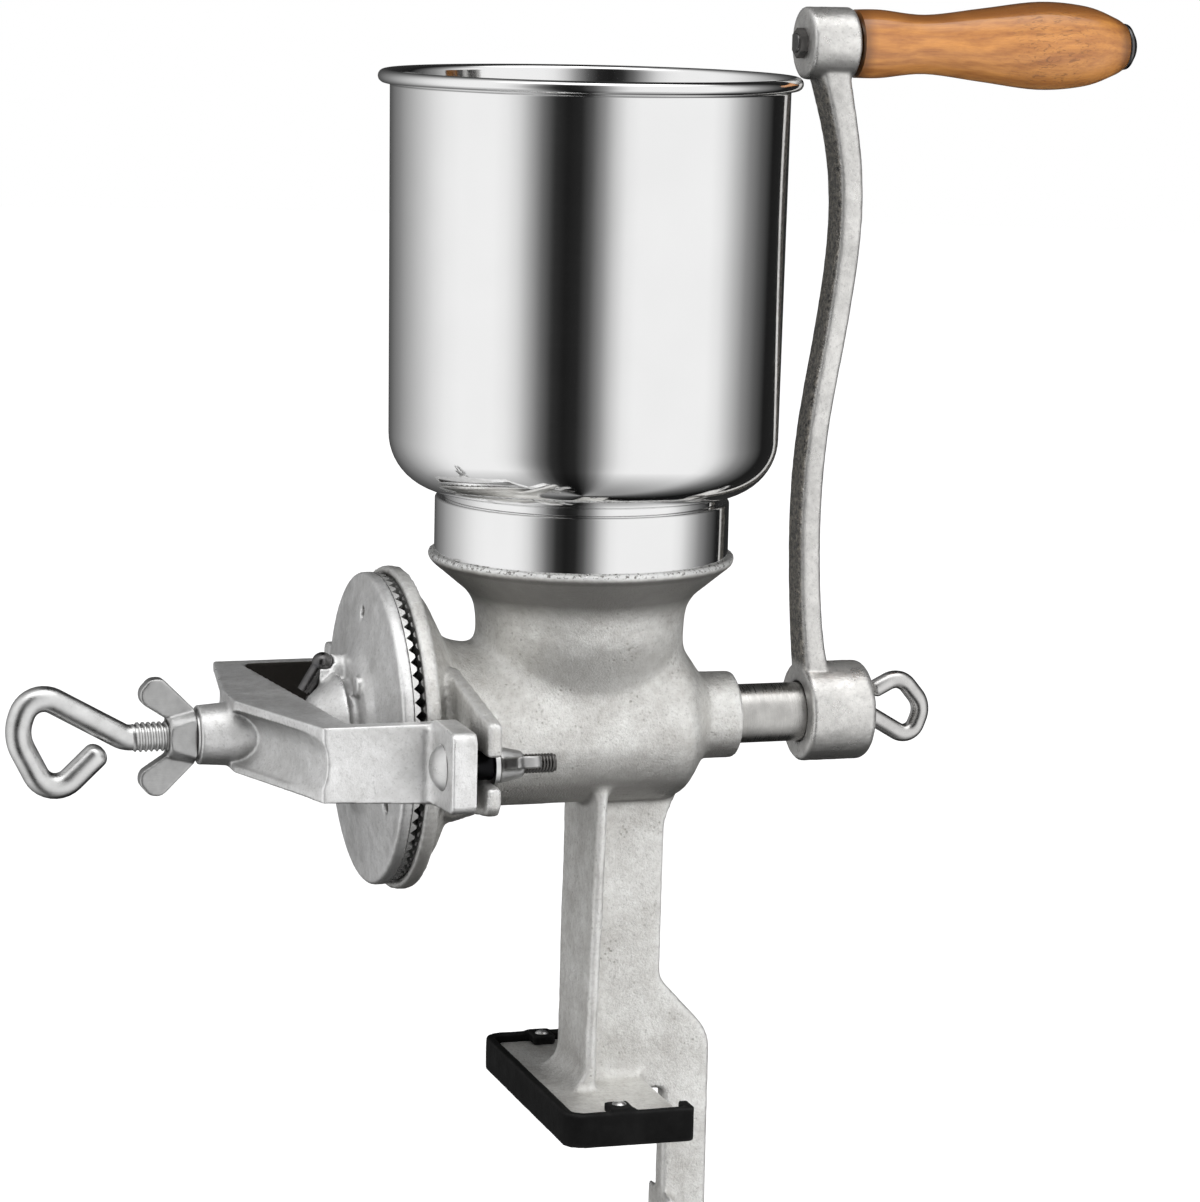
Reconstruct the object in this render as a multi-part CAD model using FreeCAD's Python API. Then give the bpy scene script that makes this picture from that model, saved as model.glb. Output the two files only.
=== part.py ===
import FreeCAD, Part
import math
import os

# Hand crank grain and nut mill, table clamp model.
# Frame: origin on the table top, under the crossing of the shaft and hopper axes.
# +X runs along the shaft towards the crank, +Z is up. Millimetres.

# Driving dimensions
SHAFT_Z = 128.0
HOPPER_R = 62.0
HOPPER_TOP_R = 63.2
HOPPER_RIM_R = 67.0
HOPPER_FLOOR_Z = 203.0
HOPPER_RIM_Z = 333.4
SHEET = 1.0
NECK_R = 47.1
NECK_LOW_Z = 181.1
NECK_TOP_Z = 200.8
FUNNEL_LIP_R = 49.1
FUNNEL_LIP_Z = 183.6
FUNNEL_WAIST_R = 33.8
BARREL_R = 26.5
BARREL_BORE_R = 21.5
FLANGE_R = 51.5
FLANGE_LEFT_X = -63.6
FLANGE_RIGHT_X = -58.6
DISC_R = 49.7
DISC_LEFT_X = -70.8
DISC_RIGHT_X = -67.0
BURR_TOOTH_X = -65.0
BURR_TEETH = 72
FIXED_BURR_X = -63.9
JOURNAL_R = 9.65
HUB_END_X = 52.5
CRANK_X = 75.3
CRANK_END_X = 98.0
CRANK_HUB_R = 16.3
CRANK_REACH = 217.5
GRIP_END_X = 181.6
YOKE_ARM_Y = 58.0
YOKE_ARM_THICK = 5.5
YOKE_TOP = 12.4
YOKE_LOW = 12.6
YOKE_LEFT_X = -125.2
YOKE_INNER_X = -94.3
SCREW_TIP_X = -93.0
LOCK_NUT_X = -126.0
ROTOR_TIP_X = -91.0
ROTOR_PIN_X = -86.0
THRUST_X = -92.0
BALL_R = 3.0
BALL_CUP_R = 3.3
EYE_WIRE_R = 4.1
CRANK_WIRE_R = 2.95
BOLT_Y = 69.0
EAR_TIP_Y = 82.0
BOLT_Z = SHAFT_Z + 1.3
EAR_LEFT_X = -53.4
EAR_RIGHT_X = -48.7
LUG_LEFT_X = -64.3
LUG_RIGHT_X = -56.6
THREAD_R = 4.7
THREAD_PITCH = 1.75
BOLT_R = 3.0
BOLT_SHANK_R = 4.45
BOLT_PITCH = 1.0
THREAD_PLAY = 0.1
RUNNING_PLAY = 0.05
SEAT_X0 = -16.0
SEAT_X1 = 26.5
SEAT_HALF_Y = 50.0
RUBBER_WALL = 3.0
RUBBER_FLOOR = 2.4
RUBBER_TOP_Z = 11.0
PLATE_TOP_Z = 8.6
TAB_TOP_Z = 11.8
SPINE_X0 = 31.4
SPINE_X1 = 46.9
WEB_HALF = 4.0
CLAMP_X = 4.0
PAD_TOP_Z = -41.0
CLAMP_BOSS_TOP_Z = -54.0
CLAMP_BOSS_LOW_Z = -70.0

V = FreeCAD.Vector
AXIS_X = V(1, 0, 0)
AXIS_Y = V(0, 1, 0)
AXIS_Z = V(0, 0, 1)


# Construction helpers

def in_xz(y=0.0):
    return lambda u, v: V(u, y, v)


def in_xy(z=0.0):
    return lambda u, v: V(u, v, z)


def in_yz(x=0.0):
    return lambda u, v: V(x, u, v)


def corner_arc(before, corner, after, radius):
    """Start, middle and end of the arc that rounds one corner."""
    to_before = (before - corner).normalize()
    to_after = (after - corner).normalize()
    half = to_before.getAngle(to_after) / 2
    tangent = radius / math.tan(half)
    start = corner + to_before * tangent
    end = corner + to_after * tangent
    bisector = (to_before + to_after).normalize()
    centre = corner + bisector * (radius / math.sin(half))
    middle = centre - bisector * radius
    return start, middle, end


def route(points, radii, closed):
    """A wire of straight runs with tangent arcs at its corners."""
    count = len(points)
    edges = []
    ends = []
    for i, point in enumerate(points):
        inner = closed or 0 < i < count - 1
        if inner and radii[i] > 0:
            before = points[i - 1]
            after = points[(i + 1) % count]
            start, middle, end = corner_arc(before, point, after, radii[i])
            ends.append((start, end, Part.Arc(start, middle, end).toShape()))
        else:
            ends.append((point, point, None))
    last = count if closed else count - 1
    for i in range(count):
        if ends[i][2] is not None:
            edges.append(ends[i][2])
        if i < last:
            here = ends[i][1]
            there = ends[(i + 1) % count][0]
            if (there - here).Length > 1e-4:
                edges.append(Part.LineSegment(here, there).toShape())
    return Part.Wire(Part.__sortEdges__(edges))


def outline(points, place):
    """A closed flat wire; each point is (u, v) or (u, v, corner radius)."""
    corners = [place(p[0], p[1]) for p in points]
    radii = [p[2] if len(p) > 2 else 0.0 for p in points]
    return route(corners, radii, True)


def turned_x(points, y=0.0, z=SHAFT_Z):
    """A solid turned about an X axis from (x, r) points."""
    face = Part.Face(outline(points, lambda u, v: V(u, y, z + v)))
    return face.revolve(V(0, y, z), AXIS_X, 360)


def turned_z(points, x=0.0, y=0.0):
    """A solid turned about a Z axis from (r, z) points."""
    face = Part.Face(outline(points, lambda u, v: V(x + u, y, v)))
    return face.revolve(V(x, y, 0), AXIS_Z, 360)


def rod_x(x0, x1, radius, y=0.0, z=SHAFT_Z):
    return Part.makeCylinder(radius, x1 - x0, V(x0, y, z), AXIS_X)


def rod_z(z0, z1, radius, x=0.0, y=0.0):
    return Part.makeCylinder(radius, z1 - z0, V(x, y, z0), AXIS_Z)


def block(x0, x1, y0, y1, z0, z1):
    return Part.makeBox(x1 - x0, y1 - y0, z1 - z0, V(x0, y0, z0))


def slab_xz(points, y0, y1):
    return Part.Face(outline(points, in_xz(y0))).extrude(V(0, y1 - y0, 0))


def slab_xy(points, z0, z1):
    return Part.Face(outline(points, in_xy(z0))).extrude(V(0, 0, z1 - z0))


def slab_yz(points, x0, x1):
    return Part.Face(outline(points, in_yz(x0))).extrude(V(x1 - x0, 0, 0))


def mirrored(shape):
    """The rear twin of a front piece, across the XZ plane."""
    return shape.mirror(V(0, 0, 0), AXIS_Y)


def bent_wire(points, radii, wire_r):
    """A round wire along straight runs and tangent arcs."""
    path = route(points, radii, False)
    along = (points[1] - points[0]).normalize()
    section = Part.Wire(Part.makeCircle(wire_r, points[0], along))
    return path.makePipeShell([section], True, False)


def thread_outline(start, end, radius, pitch=THREAD_PITCH):
    """(along, r) points of a screw thread drawn as rings."""
    depth = 0.36 * pitch
    points = [(start, 0), (start, radius - depth)]
    turns = int((end - start) / pitch)
    for turn in range(turns):
        crest = start + (turn + 0.5) * pitch
        points.append((crest - 0.15, radius))
        points.append((crest + 0.15, radius))
        points.append((start + (turn + 1.0) * pitch, radius - depth))
    points.append((end, radius - depth))
    points.append((end, 0))
    return points


def spun_about_x(shape, count):
    """Copies of a shape, evenly spaced round the shaft axis."""
    copies = []
    for index in range(count):
        copy = shape.copy()
        copy.rotate(V(0, 0, SHAFT_Z), AXIS_X, 360.0 * index / count)
        copies.append(copy)
    return copies


# Main casting

def funnel_outside():
    lip_under = FUNNEL_LIP_Z - 3.4
    return turned_z([
        (0, SHAFT_Z + 35), (FUNNEL_WAIST_R, SHAFT_Z + 35), (FUNNEL_WAIST_R + 0.1, SHAFT_Z + 40.4, 12),
        (FUNNEL_LIP_R - 0.9, lip_under, 1.5), (FUNNEL_LIP_R, lip_under + 1.0, 0.6),
        (FUNNEL_LIP_R, FUNNEL_LIP_Z, 0.7), (0, FUNNEL_LIP_Z)])


def funnel_foot():
    """Lower funnel: round above, and narrowing front to back until it lies on the barrel."""
    half_x = FUNNEL_WAIST_R - 0.2
    # Each station is the height above the shaft and the half depth in Y.
    stations = [(38, half_x - 0.1), (31, 33.0), (20, 28.6), (7, 24.0)]
    rings = []
    for height, half_y in stations:
        ring = Part.Ellipse(V(0, 0, SHAFT_Z + height), half_x, half_y)
        rings.append(Part.Wire(ring.toShape()))
    return Part.makeLoft(rings, True, False)


def barrel_outside():
    step_r = FLANGE_R - 4.5
    return turned_x([
        (FLANGE_LEFT_X, 0), (FLANGE_LEFT_X, FLANGE_R, 0.7), (FLANGE_RIGHT_X, FLANGE_R, 0.9),
        (FLANGE_RIGHT_X, step_r, 1.2), (-54.5, 43.5, 4), (-46.5, 28.5, 8), (-38, BARREL_R, 8),
        (32, BARREL_R, 10), (40.6, 14.2), (40.6, 0)])


def bearing_hub():
    return turned_x([(20, 0), (20, 14.2), (HUB_END_X, 14.2, 1.0), (HUB_END_X, 0)])


def grain_way():
    """The hollow inside: ring seat, throat, barrel bore and burr seat."""
    seat_r = NECK_R + 0.4
    seat_z = NECK_LOW_Z - 0.1
    throat = turned_z([
        (0, SHAFT_Z), (20, SHAFT_Z), (22, SHAFT_Z + 19, 4), (29.5, SHAFT_Z + 39.5, 8), (41.5, seat_z - 2),
        (41.5, seat_z), (seat_r, seat_z), (seat_r, FUNNEL_LIP_Z + 1), (0, FUNNEL_LIP_Z + 1)])
    bore = rod_x(FLANGE_LEFT_X - 1, 33, BARREL_BORE_R)
    mouth = rod_x(FLANGE_LEFT_X - 1, FLANGE_RIGHT_X + 6, BARREL_BORE_R + 1.5)
    burr_seat = rod_x(FLANGE_LEFT_X - 1, FIXED_BURR_X + 2.8, 48.5)
    shaft_hole = rod_x(30, HUB_END_X + 1, JOURNAL_R + RUNNING_PLAY)
    return [throat, bore, mouth, burr_seat, shaft_hole]


def front_ear():
    """Slotted ear that takes one yoke bolt."""
    plate = slab_yz([
        (-30, SHAFT_Z + 25), (-EAR_TIP_Y, BOLT_Z + 15.2, 1.2), (-EAR_TIP_Y, BOLT_Z - 13.4, 4.5),
        (-62, SHAFT_Z - 15, 10), (-30, SHAFT_Z - 25)], EAR_LEFT_X, EAR_RIGHT_X)
    rib = slab_xy([
        (EAR_RIGHT_X - 1, -26), (-38, -25), (-45.9, -40, 10), (EAR_RIGHT_X - 1, -56)],
        SHAFT_Z - 3.5, SHAFT_Z + 3.5)
    stop_pad = block(LUG_RIGHT_X, EAR_LEFT_X + 0.5, -62.0, -53.5, SHAFT_Z - 11, SHAFT_Z + 11)
    slot = block(EAR_LEFT_X - 6, EAR_RIGHT_X + 6, -EAR_TIP_Y - 1, -67, BOLT_Z - 4.7, BOLT_Z + 4.7)
    slot_end = rod_x(EAR_LEFT_X - 6, EAR_RIGHT_X + 6, 4.7, y=-67, z=BOLT_Z)
    return plate.fuse([rib, stop_pad]).cut([slot, slot_end])


def leg_and_clamp():
    """Web, leg flange, seat plate and clamp frame under the barrel."""
    web = slab_xz([
        (3, SHAFT_Z - 12), (38.6, SHAFT_Z - 12), (29.4, 94, 16), (29.0, 41.5, 8), (SPINE_X1, 22, 15),
        (SPINE_X1, CLAMP_BOSS_LOW_Z + 2, 20), (CLAMP_X + 4, CLAMP_BOSS_LOW_Z + 1), (CLAMP_X + 4, -55),
        (SPINE_X0, -53, 9), (SPINE_X0, 4), (3, 4)], -WEB_HALF, WEB_HALF)
    inner_rim = slab_xz([
        (CLAMP_X, -53), (SPINE_X0, -53, 9), (SPINE_X0, -31), (SPINE_X0 + 4, -34, 3),
        (SPINE_X0 + 4, -57, 13), (CLAMP_X, -57)], -11, 11)
    flange = Part.makeLoft([leg_section(SHAFT_Z - 14, 1.9, 19.3), leg_section(4.0, 0.1, 16.6)], True, True)
    toe = slab_xz([
        (4, 4), (-9, 4), (-9, PLATE_TOP_Z), (0.2, PLATE_TOP_Z, 8), (0.4, 20), (4, 20)], -16.6, 16.6)
    web_foot = slab_yz([
        (-12, 4), (-12, PLATE_TOP_Z), (-WEB_HALF, PLATE_TOP_Z, 5), (-WEB_HALF, 14), (WEB_HALF, 14),
        (WEB_HALF, PLATE_TOP_Z, 5), (12, PLATE_TOP_Z), (12, 4)], 3, 23)
    boss = rod_z(CLAMP_BOSS_LOW_Z, CLAMP_BOSS_TOP_Z, 10.5, x=CLAMP_X)
    return [web, inner_rim, flange, toe, web_foot, boss, seat_plate()]


def leg_section(z, x_left, half_wide):
    thick = 3.6
    soft = 1.3
    corners = [(x_left, -half_wide, soft), (x_left + thick, -half_wide, soft),
               (x_left + thick, half_wide, soft), (x_left, half_wide, soft)]
    return outline(corners, in_xy(z))


def seat_plate():
    inset = RUBBER_WALL + 0.1
    x0 = SEAT_X0 + inset
    x1 = SEAT_X1 - RUBBER_WALL - 0.2
    y1 = SEAT_HALF_Y - inset
    plate = slab_xy([(x0, -y1, 4), (x1, -y1, 1), (x1, y1, 1), (x0, y1, 4)], RUBBER_FLOOR, PLATE_TOP_Z)
    return plate


def main_body():
    outside = barrel_outside().fuse([funnel_outside(), funnel_foot(), bearing_hub(), front_ear(), mirrored(front_ear())])
    outside = outside.fuse(leg_and_clamp())
    clamp_thread = rod_z(CLAMP_BOSS_LOW_Z - 1, CLAMP_BOSS_TOP_Z + 1, THREAD_R + THREAD_PLAY, x=CLAMP_X)
    holes = grain_way() + [clamp_thread]
    holes += [screw_hole(x, y) for x, y in tab_places()]
    holes += burr_screw_holes(FIXED_BURR_X + 2, FIXED_BURR_X + 7)
    return outside.cut(holes).removeSplitter()


# Hopper

def hopper_bowl():
    inner_r = HOPPER_R - SHEET
    wall = turned_z([
        (38, HOPPER_FLOOR_Z), (HOPPER_R, HOPPER_FLOOR_Z, 18), (HOPPER_TOP_R, HOPPER_RIM_Z + 0.4),
        (HOPPER_TOP_R - SHEET, HOPPER_RIM_Z + 0.4), (inner_r, HOPPER_FLOOR_Z + SHEET, 17),
        (38, HOPPER_FLOOR_Z + SHEET)])
    bead_r = 2.1
    bead = Part.makeTorus(HOPPER_RIM_R - bead_r, bead_r, V(0, 0, HOPPER_RIM_Z))
    return wall.fuse(bead).removeSplitter()


def hopper_neck():
    inner_r = NECK_R - SHEET
    collar_r = 44.0
    return turned_z([
        (inner_r, NECK_LOW_Z), (NECK_R, NECK_LOW_Z, 0.3), (NECK_R, NECK_TOP_Z, 0.8),
        (collar_r, NECK_TOP_Z), (collar_r, HOPPER_FLOOR_Z), (collar_r - SHEET, HOPPER_FLOOR_Z),
        (collar_r - SHEET, NECK_TOP_Z - SHEET), (inner_r, NECK_TOP_Z - SHEET)])


# Burrs and rotor

def burr_grooves(face_x, depth, outer_r, inner_r):
    """Cutters for radial V grooves; depth is signed, into the plate."""
    half_wide = math.pi * outer_r / BURR_TEETH * 0.93
    skim = 0.2 if depth > 0 else -0.2

    def vee(radius, half, deep):
        z = SHAFT_Z + radius
        return Part.makePolygon([V(face_x - skim, -half, z), V(face_x - skim, half, z),
                                 V(face_x + deep, 0, z), V(face_x - skim, -half, z)])
    far = outer_r + 1.0
    ends = [vee(far, half_wide, depth), vee(inner_r, 0.25 * half_wide, 0.25 * depth)]
    cutter = Part.makeLoft(ends, True, True)
    return spun_about_x(cutter, BURR_TEETH)


def burr_screw_holes(x0, x1):
    return spun_about_x(rod_x(x0, x1, 2.0, z=SHAFT_Z + 37), 3)


def fixed_burr():
    back_x = FIXED_BURR_X + 2.7
    ring = turned_x([(FIXED_BURR_X, 24), (FIXED_BURR_X, 48.3, 0.4), (back_x, 48.3), (back_x, 24)])
    ring = ring.cut(spun_about_x(screw_head_seat(FIXED_BURR_X, 1), 3))
    return ring.cut(burr_grooves(FIXED_BURR_X, 1.3, 48.3, 29))


def screw_head_seat(face_x, way):
    seat = Part.makeCone(3.6, 2.0, 1.8, V(face_x, 0, SHAFT_Z + 37), AXIS_X * way)
    hole = Part.makeCylinder(2.0, 8, V(face_x, 0, SHAFT_Z + 37), AXIS_X * way)
    return seat.fuse(hole)


def flat_screws(face_x, way):
    """Three countersunk screws, sunk below the teeth."""
    start = face_x + way * 0.5
    head = Part.makeCone(3.1, 1.9, 1.3, V(start, 0, SHAFT_Z + 37), AXIS_X * way)
    shank = Part.makeCylinder(1.9, 5.6, V(start, 0, SHAFT_Z + 37), AXIS_X * way)
    slot = block(start - 0.4, start + 0.4, -4, 4, SHAFT_Z + 36.6, SHAFT_Z + 37.4)
    return Part.makeCompound(spun_about_x(head.fuse(shank).cut(slot), 3))


def rotating_burr():
    back_x = DISC_RIGHT_X - 1.4
    ring = turned_x([
        (BURR_TOOTH_X, 24), (BURR_TOOTH_X, DISC_R - 0.1, 0.2), (DISC_RIGHT_X, DISC_R - 0.1),
        (DISC_RIGHT_X, 46), (back_x, 46), (back_x, 24)])
    ring = ring.cut(spun_about_x(screw_head_seat(BURR_TOOTH_X, -1), 3))
    return ring.cut(burr_grooves(BURR_TOOTH_X, -1.9, DISC_R, 29))


def rotor_disc():
    """Dished disc that carries the turning burr, with a pointed hub in its middle."""
    seat_x = DISC_RIGHT_X - 1.5
    body = turned_x([
        (seat_x, 0), (seat_x, 46.2), (DISC_RIGHT_X, 46.2), (DISC_RIGHT_X, DISC_R), (DISC_LEFT_X, DISC_R, 1.2),
        (DISC_LEFT_X - 0.4, 44, 2), (DISC_LEFT_X - 2.6, 27, 9), (-75.6, 22.5, 1.5), (-76.2, 15.5, 0.5),
        (-79.0, 15.5, 0.5), (-79.8, 18.5, 0.6), (-88.2, 11.0, 10), (ROTOR_TIP_X, 7.0, 1.5), (ROTOR_TIP_X, 0)])
    drive_lug = rod_x(-77.2, DISC_LEFT_X, 3.4, y=-12.0, z=SHAFT_Z + 16.0)
    screw_lug = slab_yz([
        (3, SHAFT_Z + 12), (6, SHAFT_Z + 20, 2), (9, SHAFT_Z + 23, 2), (13, SHAFT_Z + 21, 2),
        (14, SHAFT_Z + 10)], -84.4, -74.0)
    body = body.fuse([drive_lug, screw_lug])
    bore = rod_x(-89.6, DISC_RIGHT_X, 7.5)
    ball_cup = Part.makeSphere(BALL_CUP_R, V(THRUST_X, 0, SHAFT_Z))
    holes = spun_about_x(rod_x(-76, DISC_RIGHT_X, 2.0, z=SHAFT_Z + 37), 3)
    return body.cut([bore, ball_cup, pin_rod(2.6), hub_screw_shape(0.05)] + holes)


def hub_screw_shape(play=0.0):
    """Slanted round-headed pin that lies on the nose of the rotor hub."""
    head = V(-82.6, 8.8, SHAFT_Z + 20.0)
    tail = V(-88.0, 9.4, SHAFT_Z + 10.7)
    shank = Part.makeCylinder(2.75 + play, (tail - head).Length, head, tail - head)
    dome = Part.makeSphere(3.4 + play, head)
    return shank.fuse(dome)


def pin_rod(radius):
    """Cross pin through the rotor hub, along a slanted diameter."""
    half_long = 11.5
    slant = math.radians(52)
    direction = V(0, math.cos(slant), math.sin(slant))
    start = V(ROTOR_PIN_X, 0, SHAFT_Z) - direction * half_long
    return Part.makeCylinder(radius, 2 * half_long, start, direction)


def thrust_ball():
    return Part.makeSphere(BALL_R, V(THRUST_X, 0, SHAFT_Z))


# Shaft with its worm

def worm_flight():
    """One screw flight of the auger, swept along a helix."""
    pitch = 26.0
    length = 74.0
    start_x = -54.0
    root_r = JOURNAL_R - 1.0
    tip_r = BARREL_BORE_R - 1.2
    helix = Part.makeHelix(pitch, length, root_r)
    section = Part.Wire(Part.makePolygon([
        V(root_r, 0, -3.4), V(tip_r, 0, -1.6), V(tip_r, 0, 1.6), V(root_r, 0, 3.4), V(root_r, 0, -3.4)]))
    flight = Part.Wire(helix).makePipeShell([section], True, True)
    flight.rotate(V(0, 0, 0), AXIS_Y, 90)
    flight.translate(V(start_x, 0, SHAFT_Z))
    return flight


def auger_shaft():
    square = 13.0
    tip_x = THRUST_X + BALL_R + 0.05
    shoulder_x = DISC_RIGHT_X - 1.5
    core = turned_x([
        (tip_x, 0), (tip_x, 7.45, 0.3), (shoulder_x, 7.45), (shoulder_x, JOURNAL_R),
        (81.0, JOURNAL_R, 0.4), (81.0, 0)])
    tongue = block(80, 93, -square / 2, square / 2, SHAFT_Z - square / 2, SHAFT_Z + square / 2)
    tapped_hole = rod_x(82, 94, 3.1)
    return core.fuse([tongue, worm_flight()]).cut([tapped_hole, pin_rod(2.55)])


# Crank

def arm_section(height, x_mid, wide_x, deep_y):
    soft = 2.4
    x0 = x_mid - wide_x / 2
    x1 = x_mid + wide_x / 2
    y1 = deep_y / 2
    corners = [(x0, -y1, soft), (x1, -y1, soft), (x1, y1, soft), (x0, y1, soft)]
    return outline(corners, in_xy(SHAFT_Z + height))


def crank_arm():
    # Each station is the height above the shaft, the middle in X, the width in X and the depth in Y.
    stations = [(10, 80.5, 9.6, 15), (30, 77.6, 8.2, 12.6), (55, 76.3, 8.0, 12), (88, 77.4, 8.0, 12),
                (119, 82.0, 8.2, 12), (150, 86.2, 8.4, 12.2), (180, 85.9, 8.8, 13), (198, 82.4, 9.6, 14),
                (212, 79.2, 11, 15.5)]
    arm = Part.makeLoft([arm_section(*station) for station in stations], True, False)
    hub = turned_x([
        (CRANK_X, 0), (CRANK_X, CRANK_HUB_R, 1.6), (CRANK_END_X, CRANK_HUB_R, 3.0), (CRANK_END_X, 0)])
    grip_z = SHAFT_Z + CRANK_REACH
    eye = turned_x([(70.9, 0), (70.9, 11.6, 1.0), (87.0, 11.6, 1.6), (87.0, 0)], z=grip_z)
    square = 13.2
    counterbore = rod_x(CRANK_X - 1, 81.3, JOURNAL_R + 0.25)
    square_hole = block(CRANK_X, 93.3, -square / 2, square / 2, SHAFT_Z - square / 2, SHAFT_Z + square / 2)
    screw_way = rod_x(90, CRANK_END_X + 1, 3.2)
    screw_mouth = rod_x(CRANK_END_X - 4, CRANK_END_X + 1, 4.4)
    axle_way = rod_x(70, 88, 3.15, z=grip_z)
    return arm.fuse([hub, eye]).cut([counterbore, square_hole, screw_way, screw_mouth, axle_way])


def crank_screw():
    """Bent wire eye screw that holds the crank on the shaft."""
    xz = in_xz()
    points = [xz(83, 0), xz(97.4, 0), xz(115.5, -10.8), xz(119.8, 0.5), xz(111.2, 10.9), xz(100.9, 5.7)]
    points = [p + V(0, 0, SHAFT_Z) for p in points]
    return bent_wire(points, [0, 3.4, 4.6, 7.5, 5.8, 0], CRANK_WIRE_R)


def grip_axle():
    z = SHAFT_Z + CRANK_REACH
    tail_x = 68.0
    neck_x = GRIP_END_X - 3.0
    return turned_x([
        (tail_x, 0), (tail_x, 3.1, 0.5), (neck_x, 3.1), (GRIP_END_X + 0.2, 3.1), (GRIP_END_X + 0.2, 7.6, 0.6),
        (GRIP_END_X + 1.6, 7.4, 1.2), (GRIP_END_X + 3.9, 4.0, 3), (GRIP_END_X + 4.2, 0)], z=z)


def grip_nut():
    z = SHAFT_Z + CRANK_REACH
    across = 4.2
    corners = []
    for side in range(6):
        angle = math.radians(60 * side + 30)
        corners.append((across / math.cos(math.radians(30)) * math.cos(angle),
                        z + across / math.cos(math.radians(30)) * math.sin(angle)))
    return slab_yz(corners, 68.5, 70.9).cut(rod_x(68, 71, 3.15, z=z))


def grip_washer():
    z = SHAFT_Z + CRANK_REACH
    return rod_x(87.0, 88.0, 8.0, z=z).cut(rod_x(86, 89, 3.2, z=z))


def grip():
    """Turned wooden handle: waist near the crank, belly, tapered end."""
    z = SHAFT_Z + CRANK_REACH
    profile = [(97, 10.9), (112.5, 9.5), (132, 11.8), (152, 14.2), (168, 13.0), (178, 9.6)]
    curve = Part.BSplineCurve()
    points = [V(88.3, 0, z + 10.9)] + [V(x, 0, z + r) for x, r in profile] + [V(GRIP_END_X, 0, z + 7.6)]
    curve.interpolate(points)
    lines = Part.makePolygon([points[-1], V(GRIP_END_X, 0, z + 3.18), V(88.3, 0, z + 3.18), points[0]])
    face = Part.Face(Part.Wire([curve.toShape()] + lines.Edges))
    return face.revolve(V(0, 0, z), AXIS_X, 360)


# Yoke and its fasteners

def yoke():
    """Frame with a screw boss; its rear corner stands further out than the front one."""
    arm_in_y = YOKE_ARM_Y - YOKE_ARM_THICK
    inner_skew = 5.1
    frame = slab_xy([
        (LUG_RIGHT_X, YOKE_ARM_Y), (-107.4, YOKE_ARM_Y, 1.2), (-115, 10, 3), (-115.2, -10, 3),
        (-98.2, -YOKE_ARM_Y, 1.2), (LUG_RIGHT_X, -YOKE_ARM_Y), (LUG_RIGHT_X, -arm_in_y),
        (YOKE_INNER_X + inner_skew, -arm_in_y, 4), (YOKE_INNER_X - inner_skew, arm_in_y, 4),
        (LUG_RIGHT_X, arm_in_y)], SHAFT_Z - YOKE_LOW, SHAFT_Z + YOKE_TOP)
    underside = slab_xz([
        (LUG_LEFT_X, SHAFT_Z - YOKE_LOW), (-98, SHAFT_Z - 10.9), (-120, SHAFT_Z - 10.4), (-120, SHAFT_Z - 20),
        (LUG_LEFT_X, SHAFT_Z - 20)], -EAR_TIP_Y, EAR_TIP_Y)
    frame = frame.cut([underside, yoke_scoop(-1, -96.4), yoke_scoop(1, -104.8)])
    boss_r = 10.2
    boss_end_x = YOKE_INNER_X - 1
    boss = turned_x([
        (YOKE_LEFT_X, 0), (YOKE_LEFT_X, boss_r - 0.9, 0.5), (-113, boss_r), (boss_end_x, boss_r),
        (boss_end_x, 0)])
    body = frame.fuse([boss, yoke_lug(), mirrored(yoke_lug())])
    screw_way = rod_x(YOKE_LEFT_X - 1, YOKE_INNER_X + 2, THREAD_R + THREAD_PLAY)
    spot_face = rod_x(YOKE_INNER_X - 0.8, YOKE_INNER_X + 6, 8.4)
    bolt_r = BOLT_SHANK_R + 0.1
    bolt_ways = [rod_x(LUG_LEFT_X - 1, LUG_RIGHT_X + 1, bolt_r, side * BOLT_Y, BOLT_Z) for side in (-1, 1)]
    return body.cut([screw_way, spot_face] + bolt_ways).removeSplitter()


def yoke_lug():
    low = SHAFT_Z - YOKE_LOW
    high = SHAFT_Z + YOKE_TOP - 0.9
    lug = slab_yz([
        (-EAR_TIP_Y, BOLT_Z - 12.3, 3), (-EAR_TIP_Y, BOLT_Z + 12.5, 3), (-YOKE_ARM_Y, BOLT_Z + 12.5, 4),
        (-YOKE_ARM_Y + 3, high + 0.9), (-YOKE_ARM_Y + 3, low), (-YOKE_ARM_Y, low, 4)], LUG_LEFT_X, LUG_RIGHT_X)
    root = slab_xy([
        (LUG_LEFT_X + 1, -YOKE_ARM_Y + 1), (LUG_LEFT_X - 5, -YOKE_ARM_Y + 1), (LUG_LEFT_X - 5, -YOKE_ARM_Y),
        (LUG_LEFT_X, -YOKE_ARM_Y, 4.0), (LUG_LEFT_X, -63.5), (LUG_LEFT_X + 1, -63.5)], low + 0.8, high - 0.5)
    return lug.fuse(root)


def yoke_scoop(side, floor_x):
    """Hollow in a slanted outer face: narrow and deep at the boss, wide and shallow at the side plate."""
    deep_end = V(-107.4, side * 10.0, SHAFT_Z + 0.2)
    wide_end = V(floor_x, side * YOKE_ARM_Y, SHAFT_Z + 0.8)
    deep_r = 9.4
    wide_r = 19.0
    along = (wide_end - deep_end).normalize()
    outwards = V(-abs(along.y), side * along.x, 0)
    start = deep_end + outwards * deep_r
    end = wide_end + outwards * wide_r
    axis = (end - start).normalize()
    length = (end - start).Length
    growth = (wide_r - deep_r) / length
    before = 12.0
    after = 8.0
    hollow = Part.makeCone(deep_r - growth * before, wide_r + growth * after, length + before + after,
                           start - axis * before, axis)
    between_rims = block(-140, -80, -EAR_TIP_Y, EAR_TIP_Y, SHAFT_Z - 8.3, SHAFT_Z + 9.4)
    return hollow.common(between_rims)


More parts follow.
